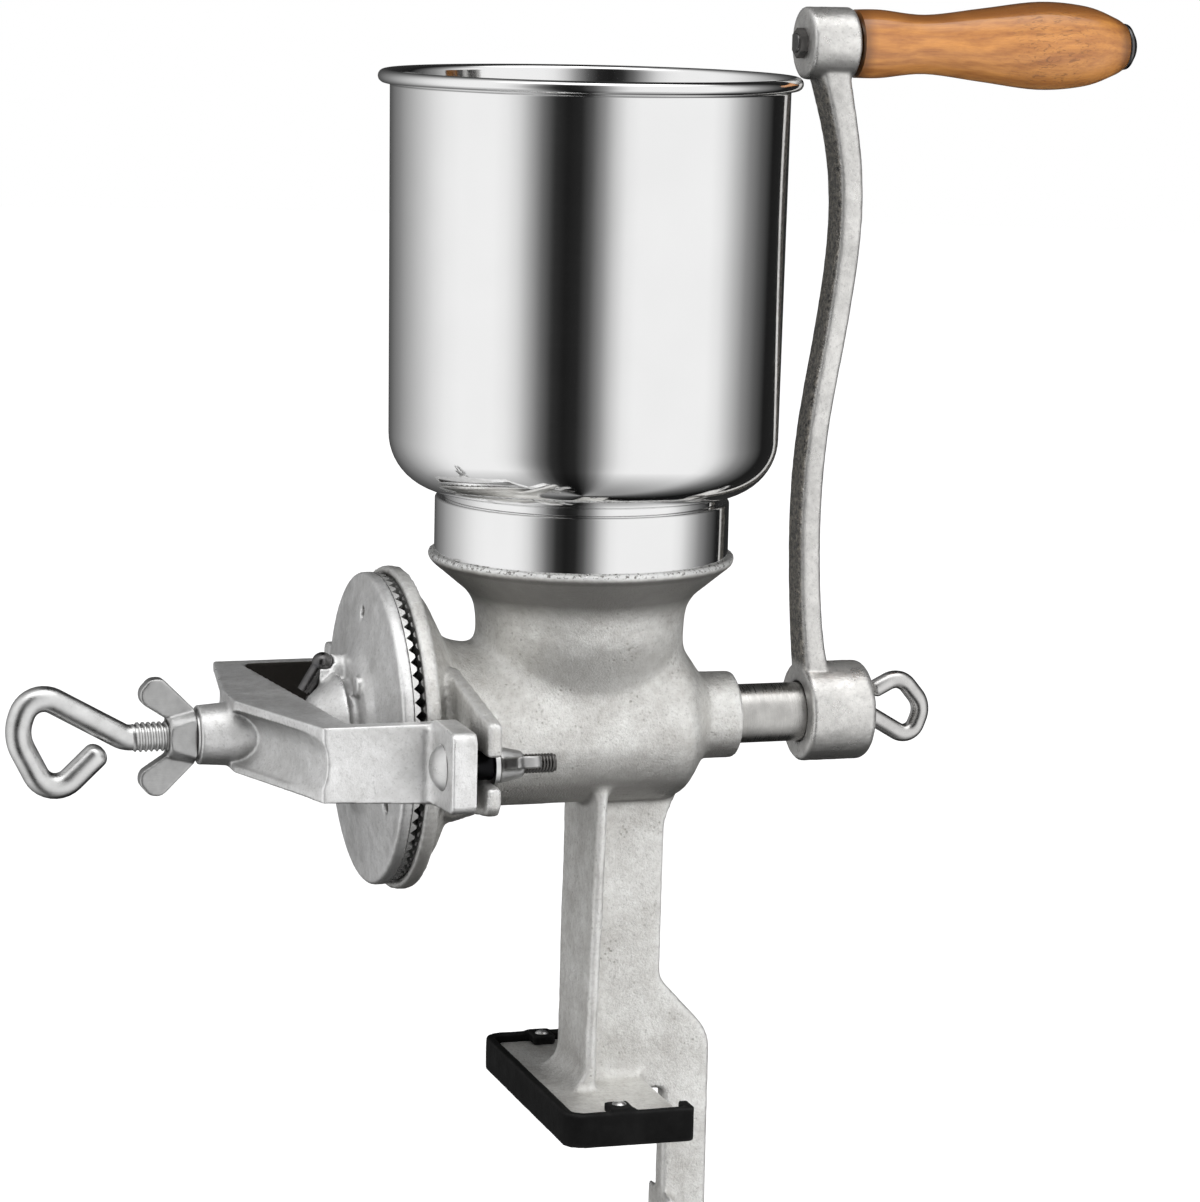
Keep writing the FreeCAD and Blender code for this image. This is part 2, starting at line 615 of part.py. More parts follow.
def yoke_bolt(side):
    y = side * BOLT_Y
    head_x = LUG_LEFT_X
    shoulder_x = EAR_RIGHT_X - 0.3
    dome = Part.makeSphere(9.2, V(head_x + 5.5, y, BOLT_Z))
    head = dome.common(rod_x(head_x - 6, head_x, 7.2, y, BOLT_Z))
    shank = rod_x(head_x, shoulder_x, BOLT_SHANK_R, y, BOLT_Z)
    stem = thread_outline(shoulder_x, -28.5, BOLT_R, BOLT_PITCH)
    return head.fuse([shank, turned_x(stem, y, BOLT_Z)])


def yoke_washer(side):
    y = side * BOLT_Y
    disc = rod_x(EAR_RIGHT_X, EAR_RIGHT_X + 1.4, 6.4, y, BOLT_Z)
    return disc.cut(rod_x(EAR_RIGHT_X - 1, EAR_RIGHT_X + 2, BOLT_R + 0.25, y, BOLT_Z))


def wing_nut(back_x, hub_long, hub_r, bore_r, wing, thick, way):
    """Wing nut on an X axis; the wings are drawn as (along, out) points."""
    hub = turned_x([(back_x, 0), (back_x, hub_r, 0.5), (back_x + way * hub_long, hub_r - 1.8, 1.2),
                    (back_x + way * hub_long, 0)], z=0)
    upper = slab_xz([(back_x + way * p[0], p[1]) + tuple(p[2:]) for p in wing], -thick / 2, thick / 2)
    lower = upper.mirror(V(0, 0, 0), AXIS_Z)
    bore = rod_x(back_x - 40, back_x + 40, bore_r, z=0)
    return hub.fuse([upper, lower]).cut(bore)


def yoke_wing_nut(side):
    wing = [(0.8, 2), (0.8, 4.6), (3.2, 14.6, 2.4), (11.0, 15.4, 3), (11.0, 10.5, 3), (7.0, 5.2, 3),
            (6.0, 2)]
    nut = wing_nut(EAR_RIGHT_X + 1.5, 8.5, 5.8, BOLT_R + THREAD_PLAY, wing, 3.6, 1)
    nut.rotate(V(0, 0, 0), AXIS_X, 76)
    nut.translate(V(0, side * BOLT_Y, BOLT_Z))
    return nut


def lock_wing_nut():
    """Flat-sided wing nut that locks the adjusting screw against the boss."""
    wing = [(0, 0), (0, 8.4, 1.0), (10.6, 18.9, 3.5), (14.4, 18.4, 3.0), (19.6, 12.6, 4.0), (8.8, 5.6, 1.5),
            (8.2, 0)]
    nut = wing_nut(LOCK_NUT_X, 8.6, 8.8, THREAD_R + THREAD_PLAY, wing, 5.2, -1)
    flat_y = 6.4
    nut = nut.common(block(LOCK_NUT_X - 24, LOCK_NUT_X, -flat_y, flat_y, -30, 30))
    nut.translate(V(0, 0, SHAFT_Z))
    return nut


def lock_washer():
    ring = rod_x(LOCK_NUT_X + 0.1, YOKE_LEFT_X - 0.1, 8.0)
    return ring.cut(rod_x(LOCK_NUT_X - 1, YOKE_LEFT_X + 1, THREAD_R + THREAD_PLAY))


def eye_points(start, turn_at):
    """Corners of the bent eye, as (distance along the screw, side)."""
    shape = [(start, 0), (turn_at, 0), (turn_at + 29.5, 16.5), (turn_at + 34.3, 2.0), (turn_at + 23.5, -19.0),
             (turn_at + 6.8, -3.1)]
    radii = [0, 7.0, 7.0, 13.0, 7.0, 0]
    return shape, radii


def adjusting_screw():
    shape, radii = eye_points(144.0, 148.0)
    loop = bent_wire([V(-a, 0, SHAFT_Z + s) for a, s in shape], radii, EYE_WIRE_R)
    stem = turned_x(thread_outline(-146.5, SCREW_TIP_X, THREAD_R))
    ball_cup = Part.makeSphere(BALL_CUP_R, V(THRUST_X, 0, SHAFT_Z))
    return stem.fuse(loop).cut(ball_cup)


# Clamp

def clamp_screw():
    low_z = CLAMP_BOSS_LOW_Z - 41.0
    shape, radii = eye_points(-low_z - 2.5, -low_z + 1.5)
    loop = bent_wire([V(CLAMP_X + s, 0, -a) for a, s in shape], radii, EYE_WIRE_R)
    stem = turned_z([(r, z) for z, r in thread_outline(low_z, PAD_TOP_Z - 10.5, THREAD_R)], x=CLAMP_X)
    tip = rod_z(PAD_TOP_Z - 11.0, PAD_TOP_Z - 4.4, 3.2, x=CLAMP_X)
    return stem.fuse([loop, tip])


def clamp_pad():
    top = PAD_TOP_Z
    pad = turned_z([
        (0, top), (13.0, top, 0.6), (13.0, top - 2.6, 0.6), (7.0, top - 4.2, 2), (6.4, top - 9.5, 0.8),
        (0, top - 9.5)], x=CLAMP_X)
    return pad.cut(rod_z(top - 10, top - 4.1, 3.25, x=CLAMP_X))


# Rubber edging of the seat

def tab_places():
    y = SEAT_HALF_Y - RUBBER_WALL - 4.0
    return [(3.2, -y), (3.2, y)]


def screw_hole(x, y):
    return rod_z(PLATE_TOP_Z - 4.5, PLATE_TOP_Z + 4, 1.3, x=x, y=y)


def base_rubber():
    y1 = SEAT_HALF_Y
    inner = y1 - RUBBER_WALL
    body = slab_xy([
        (SEAT_X0, -y1, 7), (SEAT_X1, -y1, 1.5), (SEAT_X1, y1, 1.5), (SEAT_X0, y1, 7)], 0, RUBBER_TOP_Z)
    hollow = slab_xy([
        (SEAT_X0 + RUBBER_WALL, -inner, 4), (SEAT_X1 - RUBBER_WALL, -inner), (SEAT_X1 - RUBBER_WALL, inner),
        (SEAT_X0 + RUBBER_WALL, inner, 4)], RUBBER_FLOOR, RUBBER_TOP_Z + 1)
    open_side = block(SEAT_X1 - RUBBER_WALL - 1, SEAT_X1 + 1, -41, 41, RUBBER_FLOOR, RUBBER_TOP_Z + 1)
    tabs = [tab(x, y) for x, y in tab_places()]
    holes = [screw_hole(x, y) for x, y in tab_places()]
    return body.cut([hollow, open_side]).fuse(tabs).cut(holes)


def tab(x, y):
    out = 1 if y > 0 else -1
    y_in = y - out * 3.6
    y_out = out * (SEAT_HALF_Y - 1.0)
    return block(x - 3.8, x + 3.8, min(y_in, y_out), max(y_in, y_out), PLATE_TOP_Z, TAB_TOP_Z)


def rubber_screws():
    screws = []
    for x, y in tab_places():
        head = Part.makeSphere(3.0, V(x, y, TAB_TOP_Z - 1.9)).common(rod_z(TAB_TOP_Z, TAB_TOP_Z + 2, 2.3, x, y))
        screws.append(head.fuse(rod_z(PLATE_TOP_Z - 4.2, TAB_TOP_Z, 1.25, x, y)))
    return Part.makeCompound(screws)


NODES = {
    "main_body": main_body,
    "hopper_bowl": hopper_bowl,
    "hopper_neck": hopper_neck,
    "fixed_burr": fixed_burr,
    "fixed_burr_screws": lambda: flat_screws(FIXED_BURR_X, 1),
    "rotating_burr": rotating_burr,
    "rotating_burr_screws": lambda: flat_screws(BURR_TOOTH_X, -1),
    "rotor_disc": rotor_disc,
    "rotor_pin": lambda: pin_rod(2.5),
    "hub_screw": hub_screw_shape,
    "thrust_ball": thrust_ball,
    "auger_shaft": auger_shaft,
    "crank_arm": crank_arm,
    "crank_screw": crank_screw,
    "grip_axle": grip_axle,
    "grip_nut": grip_nut,
    "grip_washer": grip_washer,
    "grip": grip,
    "yoke": yoke,
    "yoke_bolt_front": lambda: yoke_bolt(-1),
    "yoke_bolt_rear": lambda: yoke_bolt(1),
    "yoke_washer_front": lambda: yoke_washer(-1),
    "yoke_washer_rear": lambda: yoke_washer(1),
    "yoke_wing_nut_front": lambda: yoke_wing_nut(-1),
    "yoke_wing_nut_rear": lambda: yoke_wing_nut(1),
    "adjusting_screw": adjusting_screw,
    "lock_washer": lock_washer,
    "lock_wing_nut": lock_wing_nut,
    "clamp_screw": clamp_screw,
    "clamp_pad": clamp_pad,
    "base_rubber": base_rubber,
    "rubber_screws": rubber_screws,
}

os.makedirs("parts", exist_ok=True)
for name, make in NODES.items():
    shape = make()
    shape.exportStep("parts/" + name + ".step")
    print(name, len(shape.Solids), "solid, valid", shape.isValid(), "volume", round(shape.Volume))
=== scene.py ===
"""Hand crank grain and nut mill, dressed around its frame. Metres, +Z up, +X towards the crank."""
import math

import bpy
from mathutils import Matrix, Vector


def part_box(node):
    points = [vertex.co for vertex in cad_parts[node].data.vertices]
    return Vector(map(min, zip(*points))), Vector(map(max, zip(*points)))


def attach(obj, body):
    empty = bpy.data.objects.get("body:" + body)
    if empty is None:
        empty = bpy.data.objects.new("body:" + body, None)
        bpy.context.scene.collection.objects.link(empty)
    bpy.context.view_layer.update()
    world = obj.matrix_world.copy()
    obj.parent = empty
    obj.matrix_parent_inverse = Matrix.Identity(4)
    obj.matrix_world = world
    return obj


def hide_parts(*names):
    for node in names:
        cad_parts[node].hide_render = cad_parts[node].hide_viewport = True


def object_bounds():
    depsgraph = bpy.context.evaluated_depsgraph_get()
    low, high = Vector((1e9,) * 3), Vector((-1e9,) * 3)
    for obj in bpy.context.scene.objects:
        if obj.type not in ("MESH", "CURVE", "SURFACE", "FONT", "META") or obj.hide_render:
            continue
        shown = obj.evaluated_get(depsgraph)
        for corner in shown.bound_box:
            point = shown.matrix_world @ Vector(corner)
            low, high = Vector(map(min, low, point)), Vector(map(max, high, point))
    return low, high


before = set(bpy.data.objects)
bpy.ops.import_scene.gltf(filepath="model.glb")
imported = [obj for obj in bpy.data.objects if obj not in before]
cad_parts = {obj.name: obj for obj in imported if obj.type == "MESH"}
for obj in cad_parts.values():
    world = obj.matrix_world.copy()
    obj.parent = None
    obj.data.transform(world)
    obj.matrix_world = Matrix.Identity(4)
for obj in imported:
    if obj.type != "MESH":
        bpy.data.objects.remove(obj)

bl_info = {
    "name": "Hand Crank Grain Mill",
    "version": (1, 0, 0),
    "blender": (4, 5, 0),
    "location": "View3D > Sidebar > Mill",
    "description": "Builds the castings, hopper, screws and wooden grip of a table mill around its frame",
    "category": "Add Mesh",
}

CAD_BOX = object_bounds()
MM = 0.001


# Sizes and colours that a user would change

def length(name, description, default):
    return bpy.props.FloatProperty(name=name, description=description, default=default, unit="LENGTH")


def colour(name, description, default):
    return bpy.props.FloatVectorProperty(name=name, description=description, default=default, subtype="COLOR")


class MillSizes(bpy.types.PropertyGroup):
    shaft_height: length("Shaft height", "Height of the shaft axis over the table", 0.128)
    cast_voxel: length("Casting detail", "Mesh size of the large castings", 0.00115)
    small_voxel: length("Small casting detail", "Mesh size of wing nuts and the like", 0.00045)
    sheet: length("Sheet thickness", "Wall of the hopper", 0.001)
    thread_pitch: length("Thread pitch", "Pitch of the adjusting and clamp screws", 0.00175)
    wire_radius: length("Eye wire radius", "Wire of the adjusting and clamp screws", 0.0041)


class MillColours(bpy.types.PropertyGroup):
    casting: colour("Casting", "Plated body casting", (0.87, 0.845, 0.805))
    bright_casting: colour("Bright casting", "Yoke and rotor disc", (0.95, 0.945, 0.93))
    crank: colour("Crank", "Crank casting", (0.70, 0.69, 0.67))
    sheet_steel: colour("Sheet steel", "Polished hopper", (0.93, 0.93, 0.93))
    zinc: colour("Zinc", "Screws and wing nuts", (0.80, 0.80, 0.795))
    wood_light: colour("Light wood", "Early wood of the grip", (0.49, 0.21, 0.045))
    wood_dark: colour("Dark wood", "Late wood of the grip", (0.24, 0.08, 0.014))
    rubber: colour("Rubber", "Edging of the seat", (0.004, 0.004, 0.004))


# Mesh helpers

def start_clean():
    """Leaves edit mode and deselects everything."""
    if bpy.context.object and bpy.context.object.mode != "OBJECT":
        bpy.ops.object.mode_set(mode="OBJECT")
    bpy.ops.object.select_all(action="DESELECT")


def make_active(piece):
    start_clean()
    piece.select_set(True)
    bpy.context.view_layer.objects.active = piece


def settle(piece, name):
    """Names a piece and moves its place into its mesh."""
    make_active(piece)
    bpy.ops.object.transform_apply(location=True, rotation=True, scale=True)
    piece.name = name
    piece.data.name = name
    return piece


def close_up(piece, gap=1e-6, ends=False):
    """Merges doubles, fills open ends if asked, and turns all faces outwards."""
    make_active(piece)
    bpy.ops.object.mode_set(mode="EDIT")
    bpy.ops.mesh.select_all(action="SELECT")
    bpy.ops.mesh.remove_doubles(threshold=gap)
    if ends:
        bpy.ops.mesh.fill_holes(sides=0)
    bpy.ops.mesh.normals_make_consistent(inside=False)
    bpy.ops.object.mode_set(mode="OBJECT")
    return piece


def smooth_shade(piece, angle=35.0):
    make_active(piece)
    bpy.ops.object.shade_smooth_by_angle(angle=math.radians(angle))
    return piece


def rounded(points, steps=8):
    """Flat (along, out) points, where a third value rounds that corner with an arc."""
    done = []
    for i, point in enumerate(points):
        if len(point) < 3 or point[2] == 0:
            done.append(Vector(point[:2]))
            continue
        corner = Vector(point[:2])
        before = (Vector(points[i - 1][:2]) - corner).normalized()
        after = (Vector(points[(i + 1) % len(points)][:2]) - corner).normalized()
        half = before.angle(after) / 2
        centre = corner + (before + after).normalized() * (point[2] / math.sin(half))
        first = corner + before * (point[2] / math.tan(half)) - centre
        last = corner + after * (point[2] / math.tan(half)) - centre
        sweep = first.angle_signed(last)
        for step in range(steps + 1):
            turn = Matrix.Rotation(-sweep * step / steps, 2)
            done.append(centre + turn @ first)
    return done


def line_through(places):
    """A new mesh, left in edit mode, that is one line through the places."""
    start_clean()
    bpy.ops.mesh.primitive_plane_add(size=MM, location=places[0])
    bpy.ops.object.mode_set(mode="EDIT")
    bpy.ops.mesh.merge(type="CENTER")
    for here, there in zip(places, places[1:]):
        bpy.ops.mesh.extrude_vertices_move(TRANSFORM_OT_translate={"value": there - here})
    return bpy.context.object


def turned(name, profile, axis, z=0.0, steps=144, arc_steps=8):
    """A piece turned about the X or Z axis from (along, radius, corner radius) points in millimetres."""
    points = [p * MM for p in rounded(profile, arc_steps)]
    if axis == "X":
        places = [Vector((p.x, 0, z + p.y)) for p in points]
    else:
        places = [Vector((p.y, 0, p.x)) for p in points]
    piece = line_through(places)
    bpy.ops.mesh.select_all(action="SELECT")
    centre = (0, 0, z) if axis == "X" else (0, 0, 0)
    direction = (1, 0, 0) if axis == "X" else (0, 0, 1)
    bpy.ops.mesh.spin(steps=steps, angle=2 * math.pi, center=centre, axis=direction)
    bpy.ops.object.mode_set(mode="OBJECT")
    settle(piece, name)
    return close_up(piece, 1e-5)


def merged_copy(node, name):
    """A closed mesh of one part of the frame, to be finished as a casting."""
    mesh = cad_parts[node].data.copy()
    piece = bpy.data.objects.new(name, mesh)
    bpy.context.scene.collection.objects.link(piece)
    mesh.materials.clear()
    close_up(piece, 2e-5)
    return piece


def apply_modifier(piece, kind, **settings):
    make_active(piece)
    modifier = piece.modifiers.new(kind.lower(), kind)
    for key, value in settings.items():
        setattr(modifier, key, value)
    bpy.ops.object.modifier_apply(modifier=modifier.name)


def lumps(name, size):
    """A soft clouds texture for the uneven skin of a casting."""
    texture = bpy.data.textures.get(name) or bpy.data.textures.new(name, "CLOUDS")
    texture.noise_scale = size
    texture.noise_depth = 3
    return texture


def cast(node, name, voxel, soften=6, skin=0.00012, skin_size=0.0035):
    """A sand casting: one part of the frame with soft edges, fillets and an uneven skin."""
    piece = merged_copy(node, name)
    apply_modifier(piece, "REMESH", mode="VOXEL", voxel_size=voxel, adaptivity=0.0)
    apply_modifier(piece, "SMOOTH", factor=0.5, iterations=soften)
    if skin > 0:
        apply_modifier(piece, "DISPLACE", texture=lumps("skin_" + name, skin_size), strength=skin * 2,
                       mid_level=0.5, texture_coords="LOCAL")
    make_active(piece)
    bpy.ops.object.shade_smooth()
    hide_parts(node)
    return piece


def smooth_near(piece, closeness, iterations, factor=0.5):
    """Softens a piece where closeness(place) is above zero."""
    group = piece.vertex_groups.new(name="soften")
    for vertex in piece.data.vertices:
        weight = closeness(vertex.co)
        if weight > 0:
            group.add([vertex.index], min(weight, 1.0), "REPLACE")
    apply_modifier(piece, "SMOOTH", factor=factor, iterations=iterations, vertex_group="soften")
    piece.vertex_groups.remove(piece.vertex_groups["soften"])


def finish(piece, body, look):
    """Puts a finished piece on its body, with the material of that name."""
    piece.data.materials.clear()
    piece.data.materials.append(finish_named(look))
    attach(piece, body)
    return piece


def dress(node, look):
    """Gives a part of the frame its material."""
    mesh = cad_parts[node].data
    mesh.materials.clear()
    mesh.materials.append(finish_named(look))


# Node helpers

def put(tree, kind, inputs=None, **settings):
    """Adds a node; an input is a value or the socket that feeds it."""
    node = tree.nodes.new(kind)
    for name, value in settings.items():
        setattr(node, name, value)
    for name, value in (inputs or {}).items():
        if isinstance(value, bpy.types.NodeSocket):
            tree.links.new(value, node.inputs[name])
        else:
            node.inputs[name].default_value = value
    return node


def ramp(tree, source, stops):
    """A ramp of greys from (place, value) stops."""
    node = put(tree, "ShaderNodeValToRGB", {"Fac": source})
    elements = node.color_ramp.elements
    while len(elements) < len(stops):
        elements.new(0.5)
    for element, (place, value) in zip(elements, stops):
        element.position = place
        element.color = (value, value, value, 1.0)
    return node.outputs["Color"]


def mix(tree, factor, first, second, blend="MIX"):
    """Two colours mixed, each a socket or (r, g, b)."""
    first, second = ((*side, 1.0) if isinstance(side, tuple) else side for side in (first, second))
    inputs = {0: factor, 6: first, 7: second}
    return put(tree, "ShaderNodeMix", inputs, data_type="RGBA", blend_type=blend).outputs[2]


def maths(tree, operation, first, second=0.0, third=0.0):
    inputs = {0: first, 1: second, 2: third}
    return put(tree, "ShaderNodeMath", inputs, operation=operation).outputs[0]


def spread(tree, value, low, high, to_low=0.0, to_high=1.0):
    node = put(tree, "ShaderNodeMapRange", {"Value": value, "From Min": low, "From Max": high,
                                            "To Min": to_low, "To Max": to_high}, clamp=True)
    return node.outputs["Result"]


def band(tree, value, start, full, fade, end):
    """One between full and fade, and nothing before start or after end."""
    return maths(tree, "MULTIPLY", spread(tree, value, start, full), spread(tree, value, end, fade))


def shaded(colour, share):
    return tuple(c * share for c in colour)


def lifted(colour, share, most=0.95):
    """A brighter colour, with no channel over most."""
    return tuple(min(c * share, most) for c in colour)


def wash(tree, base, where, strength, colour):
    """Lays a colour over a base where the mask is, as strongly as asked."""
    return mix(tree, maths(tree, "MULTIPLY", where, strength), base, colour)


def parts_of(tree, vector):
    """The X, Y and Z of a vector."""
    return put(tree, "ShaderNodeSeparateXYZ", {"Vector": vector}).outputs


def noise(tree, vector, size, detail=4.0, roughness=0.55, distortion=0.0):
    """Noise whose lumps are about size metres wide."""
    node = put(tree, "ShaderNodeTexNoise", {"Vector": vector, "Scale": 1.0 / size, "Detail": detail,
                                            "Roughness": roughness, "Distortion": distortion})
    return node.outputs["Fac"]


def stretched(tree, vector, scale):
    return put(tree, "ShaderNodeMapping", {"Vector": vector, "Scale": scale}).outputs["Vector"]


def new_group(name, inputs, outputs):
    """An empty effect group with float inputs (name, default) and outputs (name, socket type)."""
    tree = bpy.data.node_groups.new(name, "ShaderNodeTree")
    tree.interface.new_socket("Place", in_out="INPUT", socket_type="NodeSocketVector")
    for label, value in inputs:
        socket = tree.interface.new_socket(label, in_out="INPUT", socket_type="NodeSocketFloat")
        socket.default_value = value
    for label, kind in outputs:
        tree.interface.new_socket(label, in_out="OUTPUT", socket_type=kind)
    return tree, tree.nodes.new("NodeGroupInput"), tree.nodes.new("NodeGroupOutput")


def join(tree, out, **sockets):
    for label, socket in sockets.items():
        tree.links.new(socket, out.inputs[label.replace("_", " ")])


# Effects shared by the materials

def cast_grain_group():
    """Fine sand grain, small pits and broad blotches."""
    tree, given, out = new_group(
        "Cast Grain", [("Grain Size", 0.0007), ("Pits", 0.5)],
        [("Height", "NodeSocketFloat"), ("Tone", "NodeSocketFloat"), ("Dull", "NodeSocketFloat")])
    place = given.outputs["Place"]
    scale = maths(tree, "DIVIDE", 1.0, given.outputs["Grain Size"])
    grain = put(tree, "ShaderNodeTexNoise", {"Vector": place, "Scale": scale, "Detail": 5.0,
                                             "Roughness": 0.62})
    cells = put(tree, "ShaderNodeTexVoronoi",
                {"Vector": place, "Scale": maths(tree, "MULTIPLY", scale, 0.42)})
    where = spread(tree, noise(tree, place, 0.009, 3.0), 0.5, 0.66)
    pit = maths(tree, "MULTIPLY", spread(tree, cells.outputs["Distance"], 0.34, 0.08), where)
    pit = maths(tree, "MULTIPLY", pit, given.outputs["Pits"])
    height = maths(tree, "SUBTRACT", grain.outputs["Fac"], pit)
    blotch = noise(tree, place, 0.013, 4.0)
    speck = noise(tree, place, 0.0022, 3.0, 0.6)
    tone = maths(tree, "MULTIPLY_ADD", blotch, 0.6, maths(tree, "MULTIPLY", speck, 0.4))
    tone = maths(tree, "SUBTRACT", tone, maths(tree, "MULTIPLY", pit, 0.35))
    dull = maths(tree, "MULTIPLY_ADD", noise(tree, place, 0.006, 3.0), 0.7,
                 maths(tree, "MULTIPLY", speck, 0.3))
    join(tree, out, Height=height, Tone=tone, Dull=dull)
    return tree


def edge_wear_group():
    """Bright rubbed edges and darker hollows, from the curvature of the mesh."""
    tree, given, out = new_group(
        "Edge Wear", [("Edge", 0.06)], [("Bright", "NodeSocketFloat"), ("Hollow", "NodeSocketFloat")])
    geometry = tree.nodes.new("ShaderNodeNewGeometry")
    point = geometry.outputs["Pointiness"]
    patchy = spread(tree, noise(tree, given.outputs["Place"], 0.004, 4.0), 0.35, 0.65, 0.35, 1.0)
    high = maths(tree, "ADD", 0.505, given.outputs["Edge"])
    rim = put(tree, "ShaderNodeMapRange", {"Value": point, "From Min": 0.51, "From Max": high}, clamp=True)
    bright = maths(tree, "MULTIPLY", rim.outputs["Result"], patchy)
    hollow = spread(tree, point, 0.49, 0.42)
    join(tree, out, Bright=bright, Hollow=hollow)
    return tree


def scratches_group():
    """Fine lines along one direction, for files, polishing and handling."""
    tree, given, out = new_group(
        "Scratches", [("Length", 12.0), ("Fineness", 0.0004)], [("Lines", "NodeSocketFloat")])
    scale = maths(tree, "DIVIDE", 1.0, given.outputs["Fineness"])
    squeeze = put(tree, "ShaderNodeCombineXYZ", {"X": maths(tree, "DIVIDE", 1.0, given.outputs["Length"]),
                                                 "Y": 1.0, "Z": 1.0})
    flat = put(tree, "ShaderNodeVectorMath", {0: given.outputs["Place"], 1: squeeze.outputs["Vector"]},
               operation="MULTIPLY")
    lines = put(tree, "ShaderNodeTexNoise", {"Vector": flat.outputs["Vector"], "Scale": scale, "Detail": 3.0,
                                             "Roughness": 0.7})
    join(tree, out, Lines=lines.outputs["Fac"])
    return tree


def crevice_group():
    """Shade and dirt where faces meet."""
    tree, given, out = new_group("Crevice", [("Reach", 0.006)], [("Dirt", "NodeSocketFloat")])
    shade = put(tree, "ShaderNodeAmbientOcclusion", {"Distance": given.outputs["Reach"]}, samples=6)
    patchy = spread(tree, noise(tree, given.outputs["Place"], 0.005, 3.0), 0.3, 0.7, 0.6, 1.0)
    # Painted shade and dirt: ambient occlusion darkens where faces meet.
    painted_shade_and_dirt = maths(tree, "MULTIPLY", spread(tree, shade.outputs["AO"], 0.92, 0.35), patchy)
    join(tree, out, Dirt=painted_shade_and_dirt)
    return tree


def use(tree, group, place, **inputs):
    values = {label.replace("_", " "): value for label, value in inputs.items()}
    return put(tree, "ShaderNodeGroup", {"Place": place, **values}, node_tree=group)


def new_material(name):
    """A material with its Principled shader and its object coordinates."""
    material = bpy.data.materials.new(name)
    material.use_nodes = True
    tree = material.node_tree
    shader = tree.nodes["Principled BSDF"]
    place = tree.nodes.new("ShaderNodeTexCoord").outputs["Object"]
    return material, tree, shader, place


def facing(tree):
    """The X, Y and Z of the surface direction."""
    normal = tree.nodes.new("ShaderNodeNewGeometry").outputs["Normal"]
    return parts_of(tree, normal)


def reopened(material):
    """The nodes, shader, place and base colour of a finished material."""
    tree = material.node_tree
    shader = tree.nodes["Principled BSDF"]
    place = tree.nodes["Texture Coordinate"].outputs["Object"]
    return tree, shader, place, shader.inputs["Base Color"].links[0].from_socket


def add_bump(tree, shader, height, distance, strength=1.0, under=None):
    bump = put(tree, "ShaderNodeBump", {"Height": height, "Distance": distance, "Strength": strength})
    if under is not None:
        tree.links.new(under, bump.inputs["Normal"])
    tree.links.new(bump.outputs["Normal"], shader.inputs["Normal"])
    return bump.outputs["Normal"]


# Materials, and the places in metres where one of them changes

LIP_Z = (0.1817, 0.1821)
LIP_LINE_Z = (0.1790, 0.1798, 0.1804, 0.1812)
CRANK_ARM_Z = (0.143, 0.146, 0.331, 0.336)
REAR_ARM_Y = (0.036, 0.044)
BOLT_SHANK_X = -0.0641
BOLT_THREAD_X = -0.0489
GRIP_SWIRL_X = (0.132, 0.146, 0.16, 0.173)
GRIP_OUTER_STAIN_X = (0.176, 0.1795)
GRIP_INNER_STAIN_X = (0.0925, 0.089)


def cast_metal(name, effects, colour, dull=0.4, grain=0.0007, depth=0.00034, pits=0.7, metal=0.8):
    """Plated sand casting, with painted shade and dirt where faces meet and painted shade on faces that point
    down.
    """
    material, tree, shader, place = new_material(name)
    skin = use(tree, effects["grain"], place, Grain_Size=grain, Pits=pits)
    wear = use(tree, effects["wear"], place)
    crevice = use(tree, effects["crevice"], place)
    tone = spread(tree, skin.outputs["Tone"], 0.3, 0.66)
    base = mix(tree, tone, shaded(colour, 0.68), lifted(colour, 1.15))
    specks = spread(tree, noise(tree, place, 0.0009, 3.0, 0.6), 0.57, 0.66)
    base = wash(tree, base, specks, 0.3, shaded(colour, 0.4))
    base = wash(tree, base, wear.outputs["Bright"], 0.75, lifted(colour, 1.5, 0.92))
    # One dark colour for painted shade and dirt where faces meet, and for painted shade on faces that point
    # down.
    painted_shade_and_dirt = shaded(colour, 0.25)
    base = wash(tree, base, crevice.outputs["Dirt"], 0.75, painted_shade_and_dirt)
    # Painted shade: faces that point down are darkened.
    painted_underside_shade = spread(tree, facing(tree)["Z"], -0.1, -0.7)
    base = wash(tree, base, painted_underside_shade, 0.93, painted_shade_and_dirt)
    tree.links.new(base, shader.inputs["Base Color"])
    rough = spread(tree, skin.outputs["Dull"], 0.3, 0.7, dull - 0.07, dull + 0.1)
    rough = maths(tree, "MULTIPLY_ADD", wear.outputs["Bright"], -0.12, rough)
    tree.links.new(rough, shader.inputs["Roughness"])
    shader.inputs["Metallic"].default_value = metal
    add_bump(tree, shader, skin.outputs["Height"], depth)
    return material


def crank_metal(effects, colour):
    """Plated casting with smooth faces, painted shade with rust-brown pitting on the flank towards the
    hopper, and painted shade on faces that point away from it.
    """
    material = cast_metal("Crank casting", effects, colour, dull=0.3, depth=0.0001, pits=0.3)
    tree, shader, place, plated = reopened(material)
    sideways = facing(tree)["X"]
    on_arm = band(tree, parts_of(tree, place)["Z"], *CRANK_ARM_Z)
    # Painted shade on the flank that faces the hopper, mixed with rust-brown speckle and pits.
    flank = maths(tree, "MULTIPLY", spread(tree, sideways, -0.5, -0.8), on_arm)
    # Painted shade on faces that point away from the hopper.
    painted_far_side_shade = spread(tree, sideways, 0.6, 0.9)
    speckle = spread(tree, noise(tree, place, 0.0014, 4.0, 0.65), 0.4, 0.62)
    brown = tuple(c * share for c, share in zip(colour, (0.62, 0.58, 0.52)))
    painted_shade_and_rust = mix(tree, speckle, shaded(colour, 0.16), brown)
    base = wash(tree, plated, flank, 0.9, painted_shade_and_rust)
    base = wash(tree, base, painted_far_side_shade, 0.6, shaded(colour, 0.3))
    tree.links.new(base, shader.inputs["Base Color"])
    smooth = shader.inputs["Normal"].links[0].from_socket
    add_bump(tree, shader, maths(tree, "MULTIPLY", speckle, flank), 0.0004, under=smooth)
    return material


